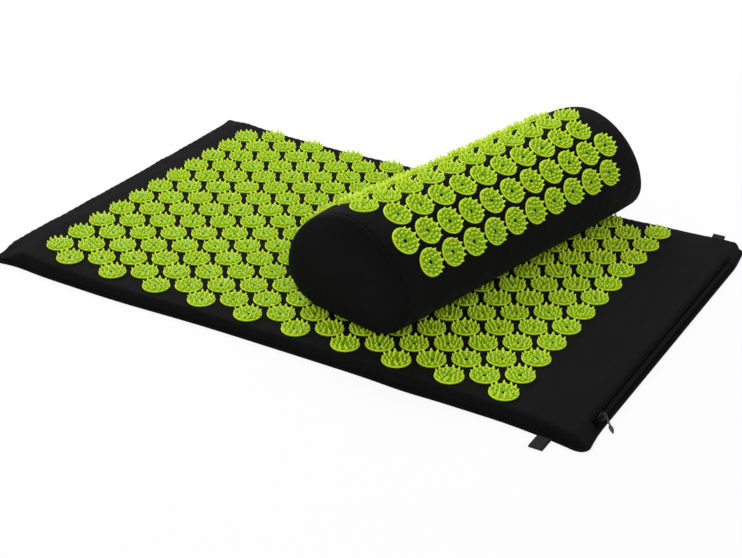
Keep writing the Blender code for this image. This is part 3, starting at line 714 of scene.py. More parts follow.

# %% [markdown]
# ## The discs
#
# A disc is a dished button, 26 mm across, with a raised rim that painted highlight makes paler, a
# hole in the middle and 26 spikes in three rings. The button is a profile turned about its axis, so
# its closed loop of radii and heights is swept round a circle. A spike is a flattened six-sided cone
# that narrows fast above its broad foot. The outer spikes are the tallest and lean outwards, like the
# petals of a crown.

# %% Sizes of a disc
BUTTON = np.array(
    [
        [1.8, 0.3], [2.3, 0.0], [12.5, 0.0], [13.0, 0.5], [12.95, 1.35], [12.5, 1.85],
        [12.05, 1.85], [11.3, 1.5], [6.0, 1.2], [2.5, 1.25], [1.8, 1.0],
    ]
)
# Painted light at each point of the profile: painted shade in the hole and underneath, painted highlight on
# the raised rim.
BUTTON_PAINTED_LIGHT = np.array([0.0, 0.0, 0.05, 0.3, 0.6, 0.78, 0.7, 0.36, 0.3, 0.34, 0.1])
BUTTON_SIDES = 24
SPIKE_SHARES = np.array([1.0, 0.70, 0.34])
SPIKE_RINGS = np.array([-0.1, 0.36, 0.8])
# Painted light up each spike: painted shade at its foot, painted highlight towards its tip.
SPIKE_PAINTED_LIGHT = np.append(np.repeat([0.28, 0.6, 0.88], 6), 1.0)
# For each ring of spikes: how many, the ring's radius, their lean in degrees, the ring's turn,
# the heights of foot and tip, and the foot's half widths along the radius and across it.
SPIKE_RING_SIZES = (
    (12, 10.7, 17.0, 0.0, 1.5, 5.8, (1.5, 2.35)),
    (9, 7.4, 9.0, 0.2, 1.2, 5.4, (1.35, 2.1)),
    (5, 4.2, 4.0, 0.5, 1.15, 4.8, (1.2, 1.75)),
)
SPIKES = sum(sizes[0] for sizes in SPIKE_RING_SIZES)
# Painted light of every point of a disc, for the attribute rise.
DISC_PAINTED_LIGHT = np.concatenate([np.repeat(BUTTON_PAINTED_LIGHT, BUTTON_SIDES), np.tile(SPIKE_PAINTED_LIGHT, SPIKES)])
print("spikes on a disc:", SPIKES)


# %% One disc
def button():
    """The profile turned about Z: x = r cos t, y = r sin t, for each point of the closed loop."""
    turn = np.arange(BUTTON_SIDES) * 2 * math.pi / BUTTON_SIDES
    radius, height = BUTTON[:, :1], BUTTON[:, 1:]
    points = np.stack([radius * np.cos(turn), radius * np.sin(turn), height + 0 * turn], -1)
    count = BUTTON.shape[0] * BUTTON_SIDES
    return points, [grid_faces(len(BUTTON) + 1, BUTTON_SIDES, wrap=True) % count]


def spikes(count, radius, lean, shift, base, tip, foot, start, rng):
    """Cones on a ring. Each ring of a cone is an ellipse whose centre moves outwards with height."""
    turn = start + shift + np.arange(count) * 2 * math.pi / count + rng.uniform(-0.06, 0.06, count)
    side = np.arange(6) * math.pi / 3
    level = SPIKE_RINGS[:, None] * (tip - base) + 0 * side
    wide, deep = (SPIKE_SHARES[:, None] * w for w in (foot[0] * np.cos(side), foot[1] * np.sin(side)))
    cone = np.vstack([np.stack([wide, deep, level], -1).reshape(-1, 3), [[0.0, 0.0, tip - base]]])
    tilt = math.radians(lean) + rng.uniform(-0.07, 0.07, count)[:, None]
    out = cone[:, 0] + cone[:, 2] * np.tan(tilt) + radius
    up = cone[:, 2] * rng.uniform(0.94, 1.0, count)[:, None] + base
    aside = cone[:, 1] + rng.uniform(-0.08, 0.08, count)[:, None] * cone[:, 2]
    c, s = np.cos(turn)[:, None], np.sin(turn)[:, None]
    return np.stack([out * c - aside * s, out * s + aside * c, up], -1)


def disc(seed):
    """The button and its cones. A cone has 18 points in three rings of six, and one at its tip."""
    rng = np.random.default_rng(seed)
    start = rng.uniform(0, 2 * math.pi)
    cones = np.concatenate([spikes(*sizes, start, rng) for sizes in SPIKE_RING_SIZES])
    side = np.arange(6)
    tip = np.stack([12 + side, 12 + (side + 1) % 6, 18 + 0 * side], 1)
    faces = [grid_faces(3, 6, wrap=True), tip, side[None, ::-1]]
    faces = [repeat_faces(group, cones.shape[1], len(cones)) for group in faces]
    return joined(button(), (cones, faces))


def disc_row(owner, row, centres, axes, seed):
    """A row of discs. Each one is turned at random about its own axis before it is placed."""
    discs = [disc(seed * 100 + number) for number in range(len(centres))]
    points = np.array([centre + one[0] @ axes for centre, one in zip(centres, discs)])
    faces = [repeat_faces(group, points.shape[1], len(discs)) for group in discs[0][1]]
    name, node = f"{owner}_discs_{row + 1:02d}", f"{owner}_disc_row_{row + 1:02d}"
    # The painted light of each point, which the lime finish reads as rise.
    rise = np.tile(DISC_PAINTED_LIGHT, len(discs))
    make_piece(name, (points, faces), "lime_plastic", owner, node, rise=rise)


print("points of a disc:", len(disc(1)[0]))

# %% Rows of discs on the mat
DISC_LIFT = 0.1
for row in range(MAT_ROWS):
    disc_row("mat", row, mat_row_centres(row) + np.array([0.0, 0.0, DISC_LIFT]), np.eye(3), row + 1)
print("rows of discs on the mat:", MAT_ROWS)

# %% [markdown]
# ## The pillow
#
# The pillow's foam is a dome: its section is a superellipse above the widest level, and a quarter
# of an ellipse rolls it in to the flat base. The cloth follows that section from hem to hem. All
# of it is worked out in the pillow's own frame, whose X runs along the pillow, and then turned and
# carried to where the pillow lies on the mat.

# %% Frame of the pillow
PILLOW_PLACE = np.array([92.8, 30.3, 17.9])
PILLOW_TURN = math.radians(78.17)
NEAR_END_LIFT = 2.6


def turn_about(axis, angle):
    """Rows are X, Y and Z turned by an angle about one of them, which is counted from 0."""
    axes, first, second = np.eye(3), (axis + 1) % 3, (axis + 2) % 3
    axes[first, first] = axes[second, second] = math.cos(angle)
    axes[first, second], axes[second, first] = math.sin(angle), -math.sin(angle)
    return axes


PILLOW_AXES = turn_about(2, PILLOW_TURN)


def to_scene(points):
    """From the pillow's frame to the scene's, still in millimetres."""
    return PILLOW_PLACE + points @ PILLOW_AXES


def raised(points):
    """Lifts the near end, which is stuffed harder, by up to 2.6 mm above the level of the hem."""
    along, level = points[..., 0], points[..., 2]
    lift = NEAR_END_LIFT * smoothstep(-along, 60.0, 175.0) * smoothstep(level, 2.0, 30.0)
    return points + lift[..., None] * np.array([0.0, 0.0, 1.0])


print("the pillow lies along", np.round(PILLOW_AXES[0], 3))

# %% Section of the pillow
PILLOW_HALF_WIDTH = 71.5
PILLOW_HEIGHT = 99.2
WIDEST_LEVEL = 32.0
BASE_HALF_WIDTH = 35.0
HEM_LEVEL = 1.3
DOME_POWER = 1.82
HALF_TUBE = 179.0
END_FADE, END_LOSS = 22.0, 0.018


def half_section():
    """From the crest to the hem, as widths and heights.

    Dome: y = W sin(t)^(2/p) and z = L + R cos(t)^(2/p). Roll: a quarter of an ellipse.
    """
    t = np.linspace(0.0, math.pi / 2, 600)
    dome_y = PILLOW_HALF_WIDTH * np.sin(t) ** (2 / DOME_POWER)
    dome_z = WIDEST_LEVEL + (PILLOW_HEIGHT - WIDEST_LEVEL) * np.cos(t) ** (2 / DOME_POWER)
    roll_y = BASE_HALF_WIDTH + (PILLOW_HALF_WIDTH - BASE_HALF_WIDTH) * np.cos(t)
    roll_z = WIDEST_LEVEL - (WIDEST_LEVEL - HEM_LEVEL) * np.sin(t)
    return np.vstack([np.stack([dome_y, dome_z], 1), np.stack([roll_y, roll_z], 1)[1:]])


half_line = half_section()
HALF_CLOTH = travel(half_line)[-1]


def section_at(distance):
    """The point of the section at a signed distance along the cloth from the crest."""
    width, height = np.moveaxis(points_at(np.abs(distance), half_line), -1, 0)
    return np.stack([np.sign(distance) * width, height], -1)


def made_smaller(section, share):
    """The section shrunk towards the middle of its hem."""
    return section * share + np.array([0.0, HEM_LEVEL]) * (1 - share)


def chord_frame(first, second, x):
    """Origin and axes of the flat facet between two distances: along, round, and outwards."""
    start, end = section_at(np.array([first, second]))
    round_it = np.array([0.0, *(end - start)]) / np.linalg.norm(end - start)
    along = np.array([1.0, 0.0, 0.0])
    origin = np.array([x, *(start + end) / 2])
    return origin, np.array([along, round_it, np.cross(along, round_it)])


print("cloth from hem to hem of the pillow:", round(2 * HALF_CLOTH, 1), "mm")

# %% [markdown]
# ### Pressed flat under the discs and the zip
#
# Seven rows of discs lie along the dome. A disc is stiff, so the cloth beneath it is flat, and the
# cloth between two discs swells back to the round. A point of the cloth that would stand above the
# disc's underside is moved down to it, and the move fades out beyond the disc's rim.

# %% Places on the pillow
PILLOW_ROWS = 7
PILLOW_ROW_PITCH = 26.0
PILLOW_DISC_PITCH = 30.0
ROW_SHIFT = 2.5
PILLOW_FIELD_X = -5.0
OTHER_SIDE = 20.0
row_edges = (np.arange(PILLOW_ROWS + 1) - PILLOW_ROWS / 2) * PILLOW_ROW_PITCH + ROW_SHIFT


def pillow_row(row):
    """Centres of one row's discs in the pillow's frame, and the axes that they share."""
    count = 10 + row % 2
    origin, axes = chord_frame(row_edges[row], row_edges[row + 1], PILLOW_FIELD_X)
    run = (np.arange(count) - (count - 1) / 2) * PILLOW_DISC_PITCH
    return raised(origin + run[:, None] * axes[0]), axes


def press(points, origin, axes, half_sizes, level, low, high):
    """Moves points down to a level above a facet, round a rectangle that lies on it.

    The move fades as the distance from the rectangle goes from low to high. A rectangle of no
    size is a point. Cloth far above or below the facet is another side of the pillow, and stays.
    """
    local = (points - origin) @ axes.T
    over = np.maximum(np.abs(local[..., :2]) - half_sizes, 0.0)
    apart = np.hypot(over[..., 0], over[..., 1])
    apart = np.where(np.abs(local[..., 2]) > OTHER_SIDE, high, apart)
    move = np.maximum(local[..., 2] - level, 0.0) * (1 - smoothstep(apart, low, high))
    return points - move[..., None] * axes[2]


back_steps = np.linspace(HALF_CLOTH, row_edges[-1], 4, endpoint=False)[::-1]
pillow_zip_place, pillow_zip_axes = chord_frame(back_steps[0], back_steps[1], 0.0)
print("pillow's zip at", np.round(to_scene(pillow_zip_place), 1))


# %% The cloth round the pillow
def end_share(x):
    """The section's size along the pillow: whole, and drawn in over the last few centimetres."""
    reach = np.clip((np.abs(x) - HALF_TUBE + END_FADE) / END_FADE, 0.0, 1.0)
    return 1 - END_LOSS * reach**2.2


x_lines = np.linspace(-HALF_TUBE, HALF_TUBE, 121)
round_lines = np.linspace(-HALF_CLOTH, HALF_CLOTH, 141)
x, distance = np.meshgrid(x_lines, round_lines, indexing="ij")
section = made_smaller(section_at(distance), end_share(x)[..., None])
tube = raised(np.concatenate([x[..., None], section], -1))
to_end = HALF_TUBE - np.abs(x)
hem_fade = smoothstep(HALF_CLOTH - np.abs(distance), 2.0, 26.0)
pucker = np.sin(2 * math.pi * distance / 9.1 + waves(distance, x, 70.0, 12))
end_pucker = (1 - smoothstep(to_end, 4.0, 18.0)) * pucker
ripple = 0.7 * waves(x, distance, 60.0, 8) + 0.3 * waves(x, distance, 22.0, 9)
swell = hem_fade * (0.55 * ripple * smoothstep(to_end, 0.0, 12.0) + 0.22 * end_pucker)
tube = tube + swell[..., None] * normals_of(tube)
for row in range(PILLOW_ROWS):
    centres, axes = pillow_row(row)
    for centre in centres:
        tube = press(tube, centre, axes, (0.0, 0.0), 0.15, 13.1, 17.5)
tube = press(tube, pillow_zip_place, pillow_zip_axes, (160.0, 5.5), 0.0, 0.0, 5.0)
shape = close_layers(
    to_scene(tube), to_scene(tube - CLOTH * normals_of(tube)), np.stack([x, distance], -1)
)
pillow_top = make_piece("pillow_top_cloth", shape, "black_cotton", "pillow", "pillow_top_panel")
print("pillow's cloth grid:", tube.shape[:2])

# %% [markdown]
# ### The ends of the pillow
#
# Each end is a D-shaped panel that the foam pushes out. Its rim turns over in a soft round before
# it meets the wrapped cloth. The rings of the grid shrink from the rim to the middle, and a ring
# of share s bulges by (1 - s^4)^(1/2.2) of the whole, which is steep at the rim and flat inside.

# %% End panels
END_BULGE = 8.0
END_CENTRE = np.array([0.0, (PILLOW_HEIGHT + WIDEST_LEVEL) / 3])
END_GAP = 0.25
END_BASE_HALF, END_BASE_LEVEL = 38.0, 0.15


def end_outline():
    """The drawn-in section with the flat base, as 150 even points of a closed line."""
    rim = made_smaller(section_at(np.linspace(-HALF_CLOTH, HALF_CLOTH, 400)[8:-8]), 1 - END_LOSS)
    base_line = np.linspace([END_BASE_HALF, END_BASE_LEVEL], [-END_BASE_HALF, END_BASE_LEVEL], 60)
    loop = np.vstack([rim, base_line, rim[:1]])
    return points_at(np.linspace(0.0, travel(loop)[-1], 150, endpoint=False), loop)


def end_panel(which, side, seed):
    """One D-shaped panel with a wall 1 mm thick, its middle closed by one small face."""
    s = np.sin(np.linspace(math.pi / 2, 0.02, 34))[:, None]
    plan = END_CENTRE + (end_outline()[None] - END_CENTRE) * s[..., None]
    uneven = 0.5 * waves(plan[..., 0], plan[..., 1], 45.0, seed) * (1 - s**6)
    x = side * (HALF_TUBE + END_GAP + END_BULGE * (1 - s**4) ** (1 / 2.2) + uneven)[..., None]
    outer = np.concatenate([x, plan], -1)
    inner = np.concatenate([x - side * CLOTH, END_CENTRE + (plan - END_CENTRE) * 0.985], -1)
    if side < 0:
        outer, inner, plan = outer[:, ::-1], inner[:, ::-1], plan[:, ::-1]
    layers = to_scene(raised(outer)), to_scene(raised(inner))
    points, faces, cut = close_layers(*layers, plan, wrap=True)
    rows, columns = plan.shape[:2]
    last = np.arange((rows - 1) * columns, rows * columns)[None]
    shape = points, [*faces[:-1], last[:, ::-1], last + rows * columns], cut
    name, node = "pillow_end_cloth_" + which, "pillow_end_panel_" + which
    piece = make_piece(name, shape, "black_cotton", "pillow", node)
    return piece


end_panels = [end_panel("near", -1, 21), end_panel("far", 1, 22)]
print("end panels:", [panel.name for panel in end_panels])

# %% [markdown]
# ### The pillow's base and foam
#
# A flat strip of cotton closes the underside, and the foam block fills the inside. The foam is the
# section once more, a little smaller, with its corners rounded where it meets the ends.

# %% Base and foam of the pillow
STRIP_HALF = 37.5
FOAM_MIDDLE, FOAM_LIFT = np.array([0.0, 46.0]), 0.6
x, y = np.meshgrid(
    np.linspace(-HALF_TUBE, HALF_TUBE, 61), np.linspace(-STRIP_HALF, STRIP_HALF, 14), indexing="ij"
)
hem = 0.15 * (np.abs(y) > STRIP_HALF - 0.5)
strip = [to_scene(np.stack([x, y, z], -1)) for z in (1.0 - hem, 0.05 + hem)]
shape = close_layers(*strip, np.stack([x, y], -1))
pillow_base = make_piece("pillow_bottom_cloth", shape, "black_cotton", "pillow", "pillow_bottom_panel")

places = np.array([60.0, 120.0, 168.0, 177.0, 178.3, 178.4])
shares = np.array([0.95, 0.945, 0.925, 0.90, 0.86, 0.02])
places = np.concatenate([-places[::-1], [0.0], places])[:, None, None]
shares = np.concatenate([shares[::-1], shares[:1], shares])[:, None, None]
flat_base = [[20.0, HEM_LEVEL], [0.0, HEM_LEVEL], [-20.0, HEM_LEVEL]]
loop = np.vstack([section_at(np.linspace(-HALF_CLOTH, HALF_CLOTH, 90)), flat_base])
rings = FOAM_MIDDLE + (loop[None] - FOAM_MIDDLE) * shares + [0.0, FOAM_LIFT]
block = np.concatenate([places + 0 * rings[..., :1], rings], -1)
shape = to_scene(raised(block)), turned_over(tube_faces(len(places), len(loop))), block[..., :2]
pillow_foam = make_piece("pillow_foam_block", shape, "white_foam", "pillow", "pillow_foam_core")
print("base and foam of the pillow made")

# %% Rows of discs on the pillow
PILLOW_DISC_LIFT = 0.25
for row in range(PILLOW_ROWS):
    centres, axes = pillow_row(row)
    lifted = to_scene(centres + PILLOW_DISC_LIFT * axes[2])
    disc_row("pillow", row, lifted, axes @ PILLOW_AXES, 50 + row)
print("rows of discs on the pillow:", PILLOW_ROWS)

# %% [markdown]
# ## Webbing tabs
#
# A short length of heavy webbing is folded in two and sewn into each long seam. It is a strip
# carried along a path: out along the floor, round the fold, and back on top of itself.

# %% Webbing tabs
WEBBING_X, WEBBING_START = 275.9, 203.75
WEBBING_OUT, WEBBING_HALF_WIDTH, WEBBING_HALF_WALL = 17.5, 6.0, 0.52
FOLD_X, FOLD_LEVEL, FOLD_RADIUS = 16.2, 1.2, 0.66


def left_of(path):
    """The unit vectors on the left of a flat line of points."""
    way = np.gradient(path, axis=0)
    way /= np.linalg.norm(way, axis=1, keepdims=True)
    return np.stack([-way[:, 1], way[:, 0]], 1)


def webbing_tab(which, side, tilt):
    """A strip with a wall of 1.04 mm, carried along its folded path, 12 mm wide.

    The stiff seam tips it up: its height grows by the tilt times the square of the share out.
    """
    turn = np.linspace(-math.pi / 2, math.pi / 2, 9)
    fold = np.stack([FOLD_X + FOLD_RADIUS * np.cos(turn), FOLD_LEVEL + FOLD_RADIUS * np.sin(turn)], 1)
    run = np.linspace(0.0, FOLD_X - 0.5, 16)
    out, back = (np.stack([run, 0 * run + fold[end, 1]], 1) for end in (0, -1))
    path = np.vstack([out, fold, back[::-1]])
    across = np.linspace(-WEBBING_HALF_WIDTH, WEBBING_HALF_WIDTH, 7)
    selvedge = 0.05 * (np.abs(across) < WEBBING_HALF_WIDTH - 0.5)

    def layer(line):
        y = side * (WEBBING_START + line[:, :1] + 0 * across)
        z = line[:, 1:] + selvedge + tilt * (line[:, :1] / WEBBING_OUT) ** 2
        return np.stack([WEBBING_X + across + 0 * y, y, z], -1)

    aside = left_of(path) * WEBBING_HALF_WALL
    cut = np.stack(np.meshgrid(travel(path), across, indexing="ij"), -1)
    layers = layer(path - aside), layer(path + aside), cut
    if side < 0:
        layers = [grid[::-1] for grid in layers]
    name, node = "webbing_tab_" + which, "mat_webbing_tab_" + which
    return make_piece(name, close_layers(*layers), "black_webbing", "mat", node)


tabs = [webbing_tab("front", -1, 0.0), webbing_tab("back", 1, 3.6)]
print("webbing tabs:", [tab.name for tab in tabs])

# %% [markdown]
# ## Zips
#
# Both covers open with a nylon coil zip. Its frame lies on the cloth: X runs along the zip, Y
# across it and Z outwards. The two tapes are thin ribbed strips, the coil is two columns of small
# bars that lock into each other, and the slider and its tab are placed in the same frame.

# %% Frames of the two zips
ZIP_LEVEL = 5.7
TAPE = (0.6, 4.6, 0.3, 0.9)
TAPE_TAIL = 8.0
TOOTH_PITCH = 1.5
CHAIN_BASE = 1.2
BAR_HEIGHT = 5.75
SLIDER_OFFSET = 4.75


class Zip:
    """A zip: whose it is, half its length, and the place and axes of its frame."""

    def __init__(self, owner, half, place, axes):
        self.owner, self.half, self.place, self.axes = owner, half, place, axes

    def laid(self, points):
        """From the zip's frame to the scene's. The mat's zip follows its cloth where that comes in."""
        points = self.place + points @ self.axes
        points[..., 0] -= pulled_in(points[..., 0], points[..., 1])
        return points

    def piece(self, name, shape, slot, node=None, moves="", finish=None):
        """Makes a piece whose name, body and node all start with the owner's name."""
        node = node and self.owner + node
        return make_piece(self.owner + name, shape, slot, self.owner + moves, node, finish)


slope = math.atan2(MAT_TOP - FLANGE_TOP, ZIP_ROLL)
inset = FLANGE + (ZIP_LEVEL - FLANGE_TOP) / math.tan(slope)
down_slope = np.array([-math.cos(slope), 0.0, math.sin(slope)])
off_slope = np.array([math.sin(slope), 0.0, math.cos(slope)])
mat_zip_axes = np.array([[0.0, 1.0, 0.0], down_slope, off_slope])
mat_zip = Zip("mat", 164.0, np.array([HALF_LENGTH - inset, 0.0, ZIP_LEVEL]), mat_zip_axes)
turned_back = np.diag([-1.0, -1.0, 1.0]) @ pillow_zip_axes @ PILLOW_AXES
pillow_zip = Zip("pillow", 150.0, to_scene(pillow_zip_place), turned_back)
print("mat's zip at", np.round(mat_zip.place, 2), "and the pillow's at", np.round(pillow_zip.place, 2))


# %% Tapes, coil and stops
def zip_tape(zipper, which, side):
    """A strip with thin selvedges: its height is lower in the last half millimetre of its width."""
    inner, outer, low, high = TAPE
    across = np.array([inner, inner + 0.25, inner + 1.0, outer - 1.2, outer - 0.3, outer])
    end = zipper.half + TAPE_TAIL
    x, y = np.meshgrid(np.linspace(-end, end, 90), across, indexing="ij")
    thin = 0.22 * ((y < inner + 0.1) | (y > outer - 0.1))
    weld = 0.06 * np.sin(x * 1.3) * (y > outer - 0.5)
    layers = [zipper.laid(np.stack([x, side * y, z], -1)) for z in (high - thin + weld, low + thin / 2)]
    layers.append(np.stack([x, y], -1))
    if side < 0:
        layers = [grid[::-1] for grid in layers]
    zipper.piece("_tape_" + which, close_layers(*layers), "zip_tape", "_zip_tape_" + which)


def zip_coil(zipper):
    """Two columns of teeth, half a pitch apart, each leaning a little along the zip."""
    end = zipper.half - TOOTH_PITCH / 2
    run = np.arange(-end, end, TOOTH_PITCH)
    centres, ways = [], []
    for side in (-1, 1):
        x = run + TOOTH_PITCH / 4 * side
        centres.append(np.stack([x, side * 0.86 + 0 * x, CHAIN_BASE + 0.58 + 0 * x], 1))
        lean = np.array([0.10, side, 0.0])
        ways.append(np.tile(lean / np.linalg.norm(lean), (len(x), 1)))
    centres, ways = zipper.laid(np.vstack(centres)), np.vstack(ways) @ zipper.axes
    shape = bars(centres, ways, zipper.axes[2], 2.25, 0.78, 1.12)
    zipper.piece("_zip_coil", shape, "zip_nylon", "_zip_chain")
    print("teeth in the", zipper.owner, "zip:", len(centres))


def bend(value, power):
    """Raises a sine or a cosine to a power and keeps its sign, which squares off a round."""
    return np.sign(value) * np.abs(value) ** power


def zip_stop(zipper, which, x):
    """A crimped block over the end of the coil: a sphere with its sines and cosines bent."""
    lat = np.linspace(-math.pi / 2 + 0.001, math.pi / 2 - 0.001, 13)[:, None]
    lon = np.arange(24) * math.pi / 12
    level = bend(np.cos(lat), 0.4)
    ball = [level * bend(np.cos(lon), 0.4), level * bend(np.sin(lon), 0.4), bend(np.sin(lat), 0.4) + 0 * lon]
    points = np.stack(ball, -1) * [1.0, 2.6, 0.72] + [x, 0.0, CHAIN_BASE + 0.75]
    shape = zipper.laid(points), tube_faces(13, 24)
    zipper.piece("_stop_" + which, shape, "zip_metal", "_zip_stop_" + which)


# %% [markdown]
# ### The slider and its tab
#
# The slider's body is a shallow channel with a shield-shaped plate on top. Its section, a rounded
# upside-down U, is carried along the zip while its width follows the shield. A bent bar forms the
# bridge, and the tab hangs from it by its eye: a leaf whose section is a flattened superellipse.

# %% Slider
SLIDER_SECTION = np.array(
    [
        [-3.1, 1.25], [-2.5, 1.22], [-2.32, 1.5], [-2.3, 2.6], [-2.0, 2.72], [0.0, 2.72], [2.0, 2.72],
        [2.3, 2.6], [2.32, 1.5], [2.5, 1.22], [3.1, 1.25], [3.1, 2.7], [2.95, 3.2], [2.5, 3.44],
        [1.2, 3.5], [0.0, 3.5], [-1.2, 3.5], [-2.5, 3.44], [-2.95, 3.2], [-3.1, 2.7],
    ]
)
SLIDER_RUN = np.array([-4.75, -4.6, -4.1, -3.0, -1.0, 1.0, 2.6, 3.8, 4.5, 4.75])
SLIDER_SHARES = np.array([0.80, 0.86, 0.90, 0.92, 0.94, 0.97, 1.0, 0.98, 0.93, 0.86])
SLIDER_DROP = np.array([0.32, 0.10, 0.02, 0.0, 0.0, 0.0, 0.0, 0.02, 0.10, 0.32])
BRIDGE_HALF, BRIDGE_FOOT, BRIDGE_RISE, BRIDGE_RADIUS = 2.35, 3.35, 2.4, 0.45


def zip_slider(zipper):
    """The channel's section swept along the shield, and the bridge as a tube along an arch."""
    width, level = SLIDER_SECTION.T
    y = width * SLIDER_SHARES[:, None]
    channel = np.sign(y) * np.minimum(np.abs(width), np.abs(y) + 0.35)
    y = np.where(np.abs(width) < 2.4, channel, y)
    z = level - SLIDER_DROP[:, None] * (level > 2.9)
    body = np.stack([SLIDER_RUN[:, None] + 0 * y, y, z], -1), tube_faces(*y.shape)
    turn = np.linspace(0.0, math.pi, 17)
    arch = [-BRIDGE_HALF * bend(np.cos(turn), 0.5), BRIDGE_FOOT + BRIDGE_RISE * np.sin(turn) ** 0.5]
    path = np.stack(arch, 1)
    out = left_of(path)
    ring = np.arange(10) * math.pi / 5
    x, z = (path[:, i, None] + out[:, i, None] * BRIDGE_RADIUS * np.cos(ring) for i in (0, 1))
    bridge = np.stack([x, 0 * x + BRIDGE_RADIUS * np.sin(ring), z], -1)
    points, faces = joined(body, (bridge, turned_over(tube_faces(17, 10))))
    points = zipper.place + (points + [SLIDER_OFFSET - zipper.half, 0.0, 0.0]) @ zipper.axes
    zipper.piece("_slider_body", (points, faces), "zip_metal", "_zip_slider", "_slider")


# %% Pull tab
LEAF_START, LEAF_TIP, LEAF_HALF_WALL, LEAF_HALF_WIDTH = 1.3, 17.5, 0.6, 2.5
EYE_RADIUS, EYE_WIRE = 1.4, 0.4


def pull_tab(zipper, fall, lean):
    """A slender neck, then a leaf of half width 2.5 sin(pi u^0.7)^0.8, and a ring for its eye."""
    s = np.linspace(0.0, 1.0, 26)
    u = np.maximum(0.0, s - 0.5) / 0.5
    wide = np.maximum(LEAF_HALF_WIDTH * np.sin(math.pi * u**0.7) ** 0.8, 0.7 * (1 - u) + 0.12)
    turn = np.arange(24) * math.pi / 12
    y, z = bend(np.cos(turn), 0.75), bend(np.sin(turn), 0.55)
    sunk = 1 - 0.42 * (np.abs(y) < 0.62) * smoothstep(wide, 1.4, 2.2)[:, None]
    run = LEAF_START + (LEAF_TIP - LEAF_START) * s[:, None]
    leaf = np.stack([run + 0 * y, wide[:, None] * y, LEAF_HALF_WALL * z * sunk], -1)
    leaf[..., 1:] *= 1 - 0.45 * smoothstep(s, 0.94, 1.0)[:, None, None]
    neck = np.array([EYE_RADIUS, 0.0, 0.0])
    leaf = (leaf - neck) @ turn_about(2, -lean) + neck
    big, small = np.arange(20)[:, None] * math.pi / 10, np.arange(8) * math.pi / 4
    ring = EYE_RADIUS + EYE_WIRE * np.cos(small)
    eye = np.stack([ring * np.cos(big), EYE_WIRE * np.sin(small) + 0 * big, ring * np.sin(big)], -1)
    eye_faces = [grid_faces(21, 8, wrap=True) % 160]
    points, faces = joined((leaf, tube_faces(26, 24)), (eye, eye_faces))
    bar = zipper.place + np.array([SLIDER_OFFSET - zipper.half, 0.0, BAR_HEIGHT]) @ zipper.axes
    down = np.array([[0.0, -1.0, 0.0], [1.0, 0.0, 0.0], [0.0, 0.0, 1.0]]) @ zipper.axes
    shape = bar + points @ turn_about(1, fall) @ down, faces
    zipper.piece("_tab_leaf", shape, "pull_tab_rubber", "_zip_pull_tab", "_pull_tab")


# %% Both zips
MAT_LEAN = math.radians(35)
STOP_OUT = 1.3
SEAM = 4.1


def whole_zip(zipper, fall, lean):
    """Every piece of one zip. The slider waits at the closed end, and its tab hangs or lies."""
    zip_tape(zipper, "upper", 1)
    zip_tape(zipper, "lower", -1)
    zip_coil(zipper)
    zip_stop(zipper, "closed", -zipper.half - STOP_OUT)
    zip_stop(zipper, "open", zipper.half + STOP_OUT)
    zip_slider(zipper)
    pull_tab(zipper, fall, lean)
    run = np.arange(-zipper.half - 6.0, zipper.half + 6.0, 3.2)
    sewn = np.vstack([np.stack([run, y + 0 * run, 0.93 + 0 * run], 1) for y in (-SEAM, SEAM)])
    shape = bars(zipper.laid(sewn), zipper.axes[0], zipper.axes[2], 2.3, 0.42, 0.3)
    zipper.piece("_zip_stitches", shape, "zip_tape", finish=finishes["sewing_thread"])


def tab_angle(zipper, fall):
    """The turn of the tab from lying down the slope, for a fall below the level."""
    return fall + math.asin(zipper.axes[2][2]) - math.pi / 2


mat_bar = mat_zip.place + BAR_HEIGHT * mat_zip.axes[2]
tab_drop = mat_bar[2] - LEAF_HALF_WALL
tab_reach = EYE_RADIUS + (LEAF_TIP - EYE_RADIUS) * math.cos(MAT_LEAN)
mat_fall = math.asin(tab_drop / math.hypot(tab_reach, LEAF_HALF_WALL))
mat_fall -= math.atan2(LEAF_HALF_WALL, tab_reach)
whole_zip(mat_zip, tab_angle(mat_zip, mat_fall), MAT_LEAN)
whole_zip(pillow_zip, tab_angle(pillow_zip, math.pi / 2), 0.0)
print("the mat's tab falls", round(math.degrees(mat_fall), 1), "degrees below the level")

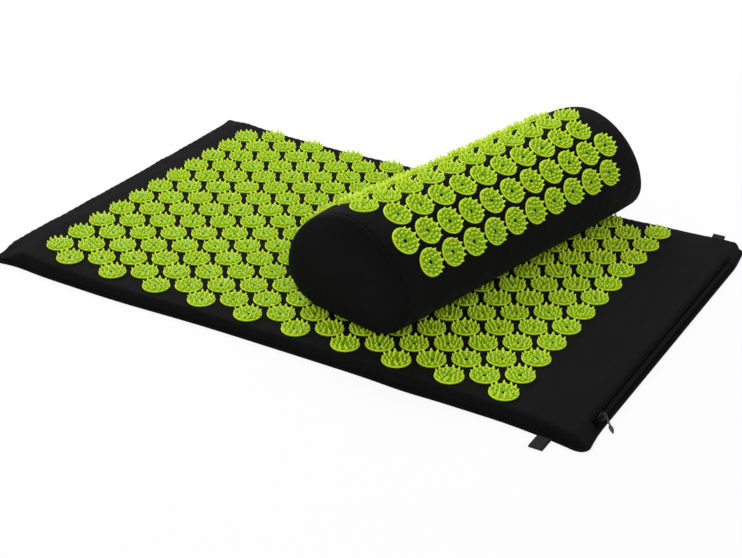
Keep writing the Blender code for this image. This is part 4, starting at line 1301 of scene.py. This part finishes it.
# %% [markdown]
# ## Floor, light and background
#
# The picture is a cut-out on white, so the floor is white and keeps only the set's soft shadow.
# The world lights everything evenly, and one large lamp behind and to the left lights the spikes'
# tips, which painted highlight also makes paler, and gives the pillow its soft edge. A weaker one in
# front opens the shadows. Together they make a surface about as bright as its colour says. What the
# camera sees of the background is plain white, and adds no light.

# %% Floor
FLOOR_HALF, FLOOR_LEVEL = 6.0, -0.0004
WHITE = (1.0, 1.0, 1.0, 1.0)
signs = (-1, -1), (1, -1), (1, 1), (-1, 1)
floor_mesh = bpy.data.meshes.new("floor")
corners = [(FLOOR_HALF * x, FLOOR_HALF * y, FLOOR_LEVEL) for x, y in signs]
floor_mesh.from_pydata(corners, [], [[0, 1, 2, 3]])
floor = bpy.data.objects.new("floor", floor_mesh)
bpy.context.scene.collection.objects.link(floor)
paper = Finish("white_floor", (0.9, 0.9, 0.9), 0.9)
glow = paper.node("ShaderNodeEmission", Color=WHITE, Strength=1.0)
kinds = "Camera", "Glossy", "Transmission"
paper.shown_instead(kinds, 0.88, paper.shader, glow, "Material Output")
floor_mesh.materials.append(paper.material)
print("floor laid")


# %% Lights and world
def soft_lamp(name, location, aim, size, power):
    """A square area lamp that faces a point."""
    data = bpy.data.lights.new(name, "AREA")
    data.size = size
    data.energy = power
    lamp = bpy.data.objects.new(name, data)
    lamp.location = location
    x, y, z = np.array(aim) - np.array(location)
    lamp.rotation_euler = (math.atan2(math.hypot(x, y), -z), 0.0, math.atan2(-x, y))
    bpy.context.scene.collection.objects.link(lamp)


soft_lamp("window", (-1.4, 1.0, 1.9), (0.0, 0.0, 0.05), 1.2, 44.0)
soft_lamp("front", (1.2, -1.8, 1.6), (0.0, 0.0, 0.05), 1.4, 13.0)
world = bpy.data.worlds.new("studio")
bpy.context.scene.world = world
world.use_nodes = True
sky = Nodes(world.node_tree)
light = sky.tree.nodes["Background"]
sky.feed(light.inputs["Color"], WHITE)
sky.feed(light.inputs["Strength"], 0.5)
shown = sky.node("ShaderNodeBackground", Color=WHITE, Strength=1.0)
sky.shown_instead(("Camera", "Transmission"), 1.0, light, shown, "World Output")
bpy.context.scene.view_settings.view_transform = "Standard"
print("lights placed")
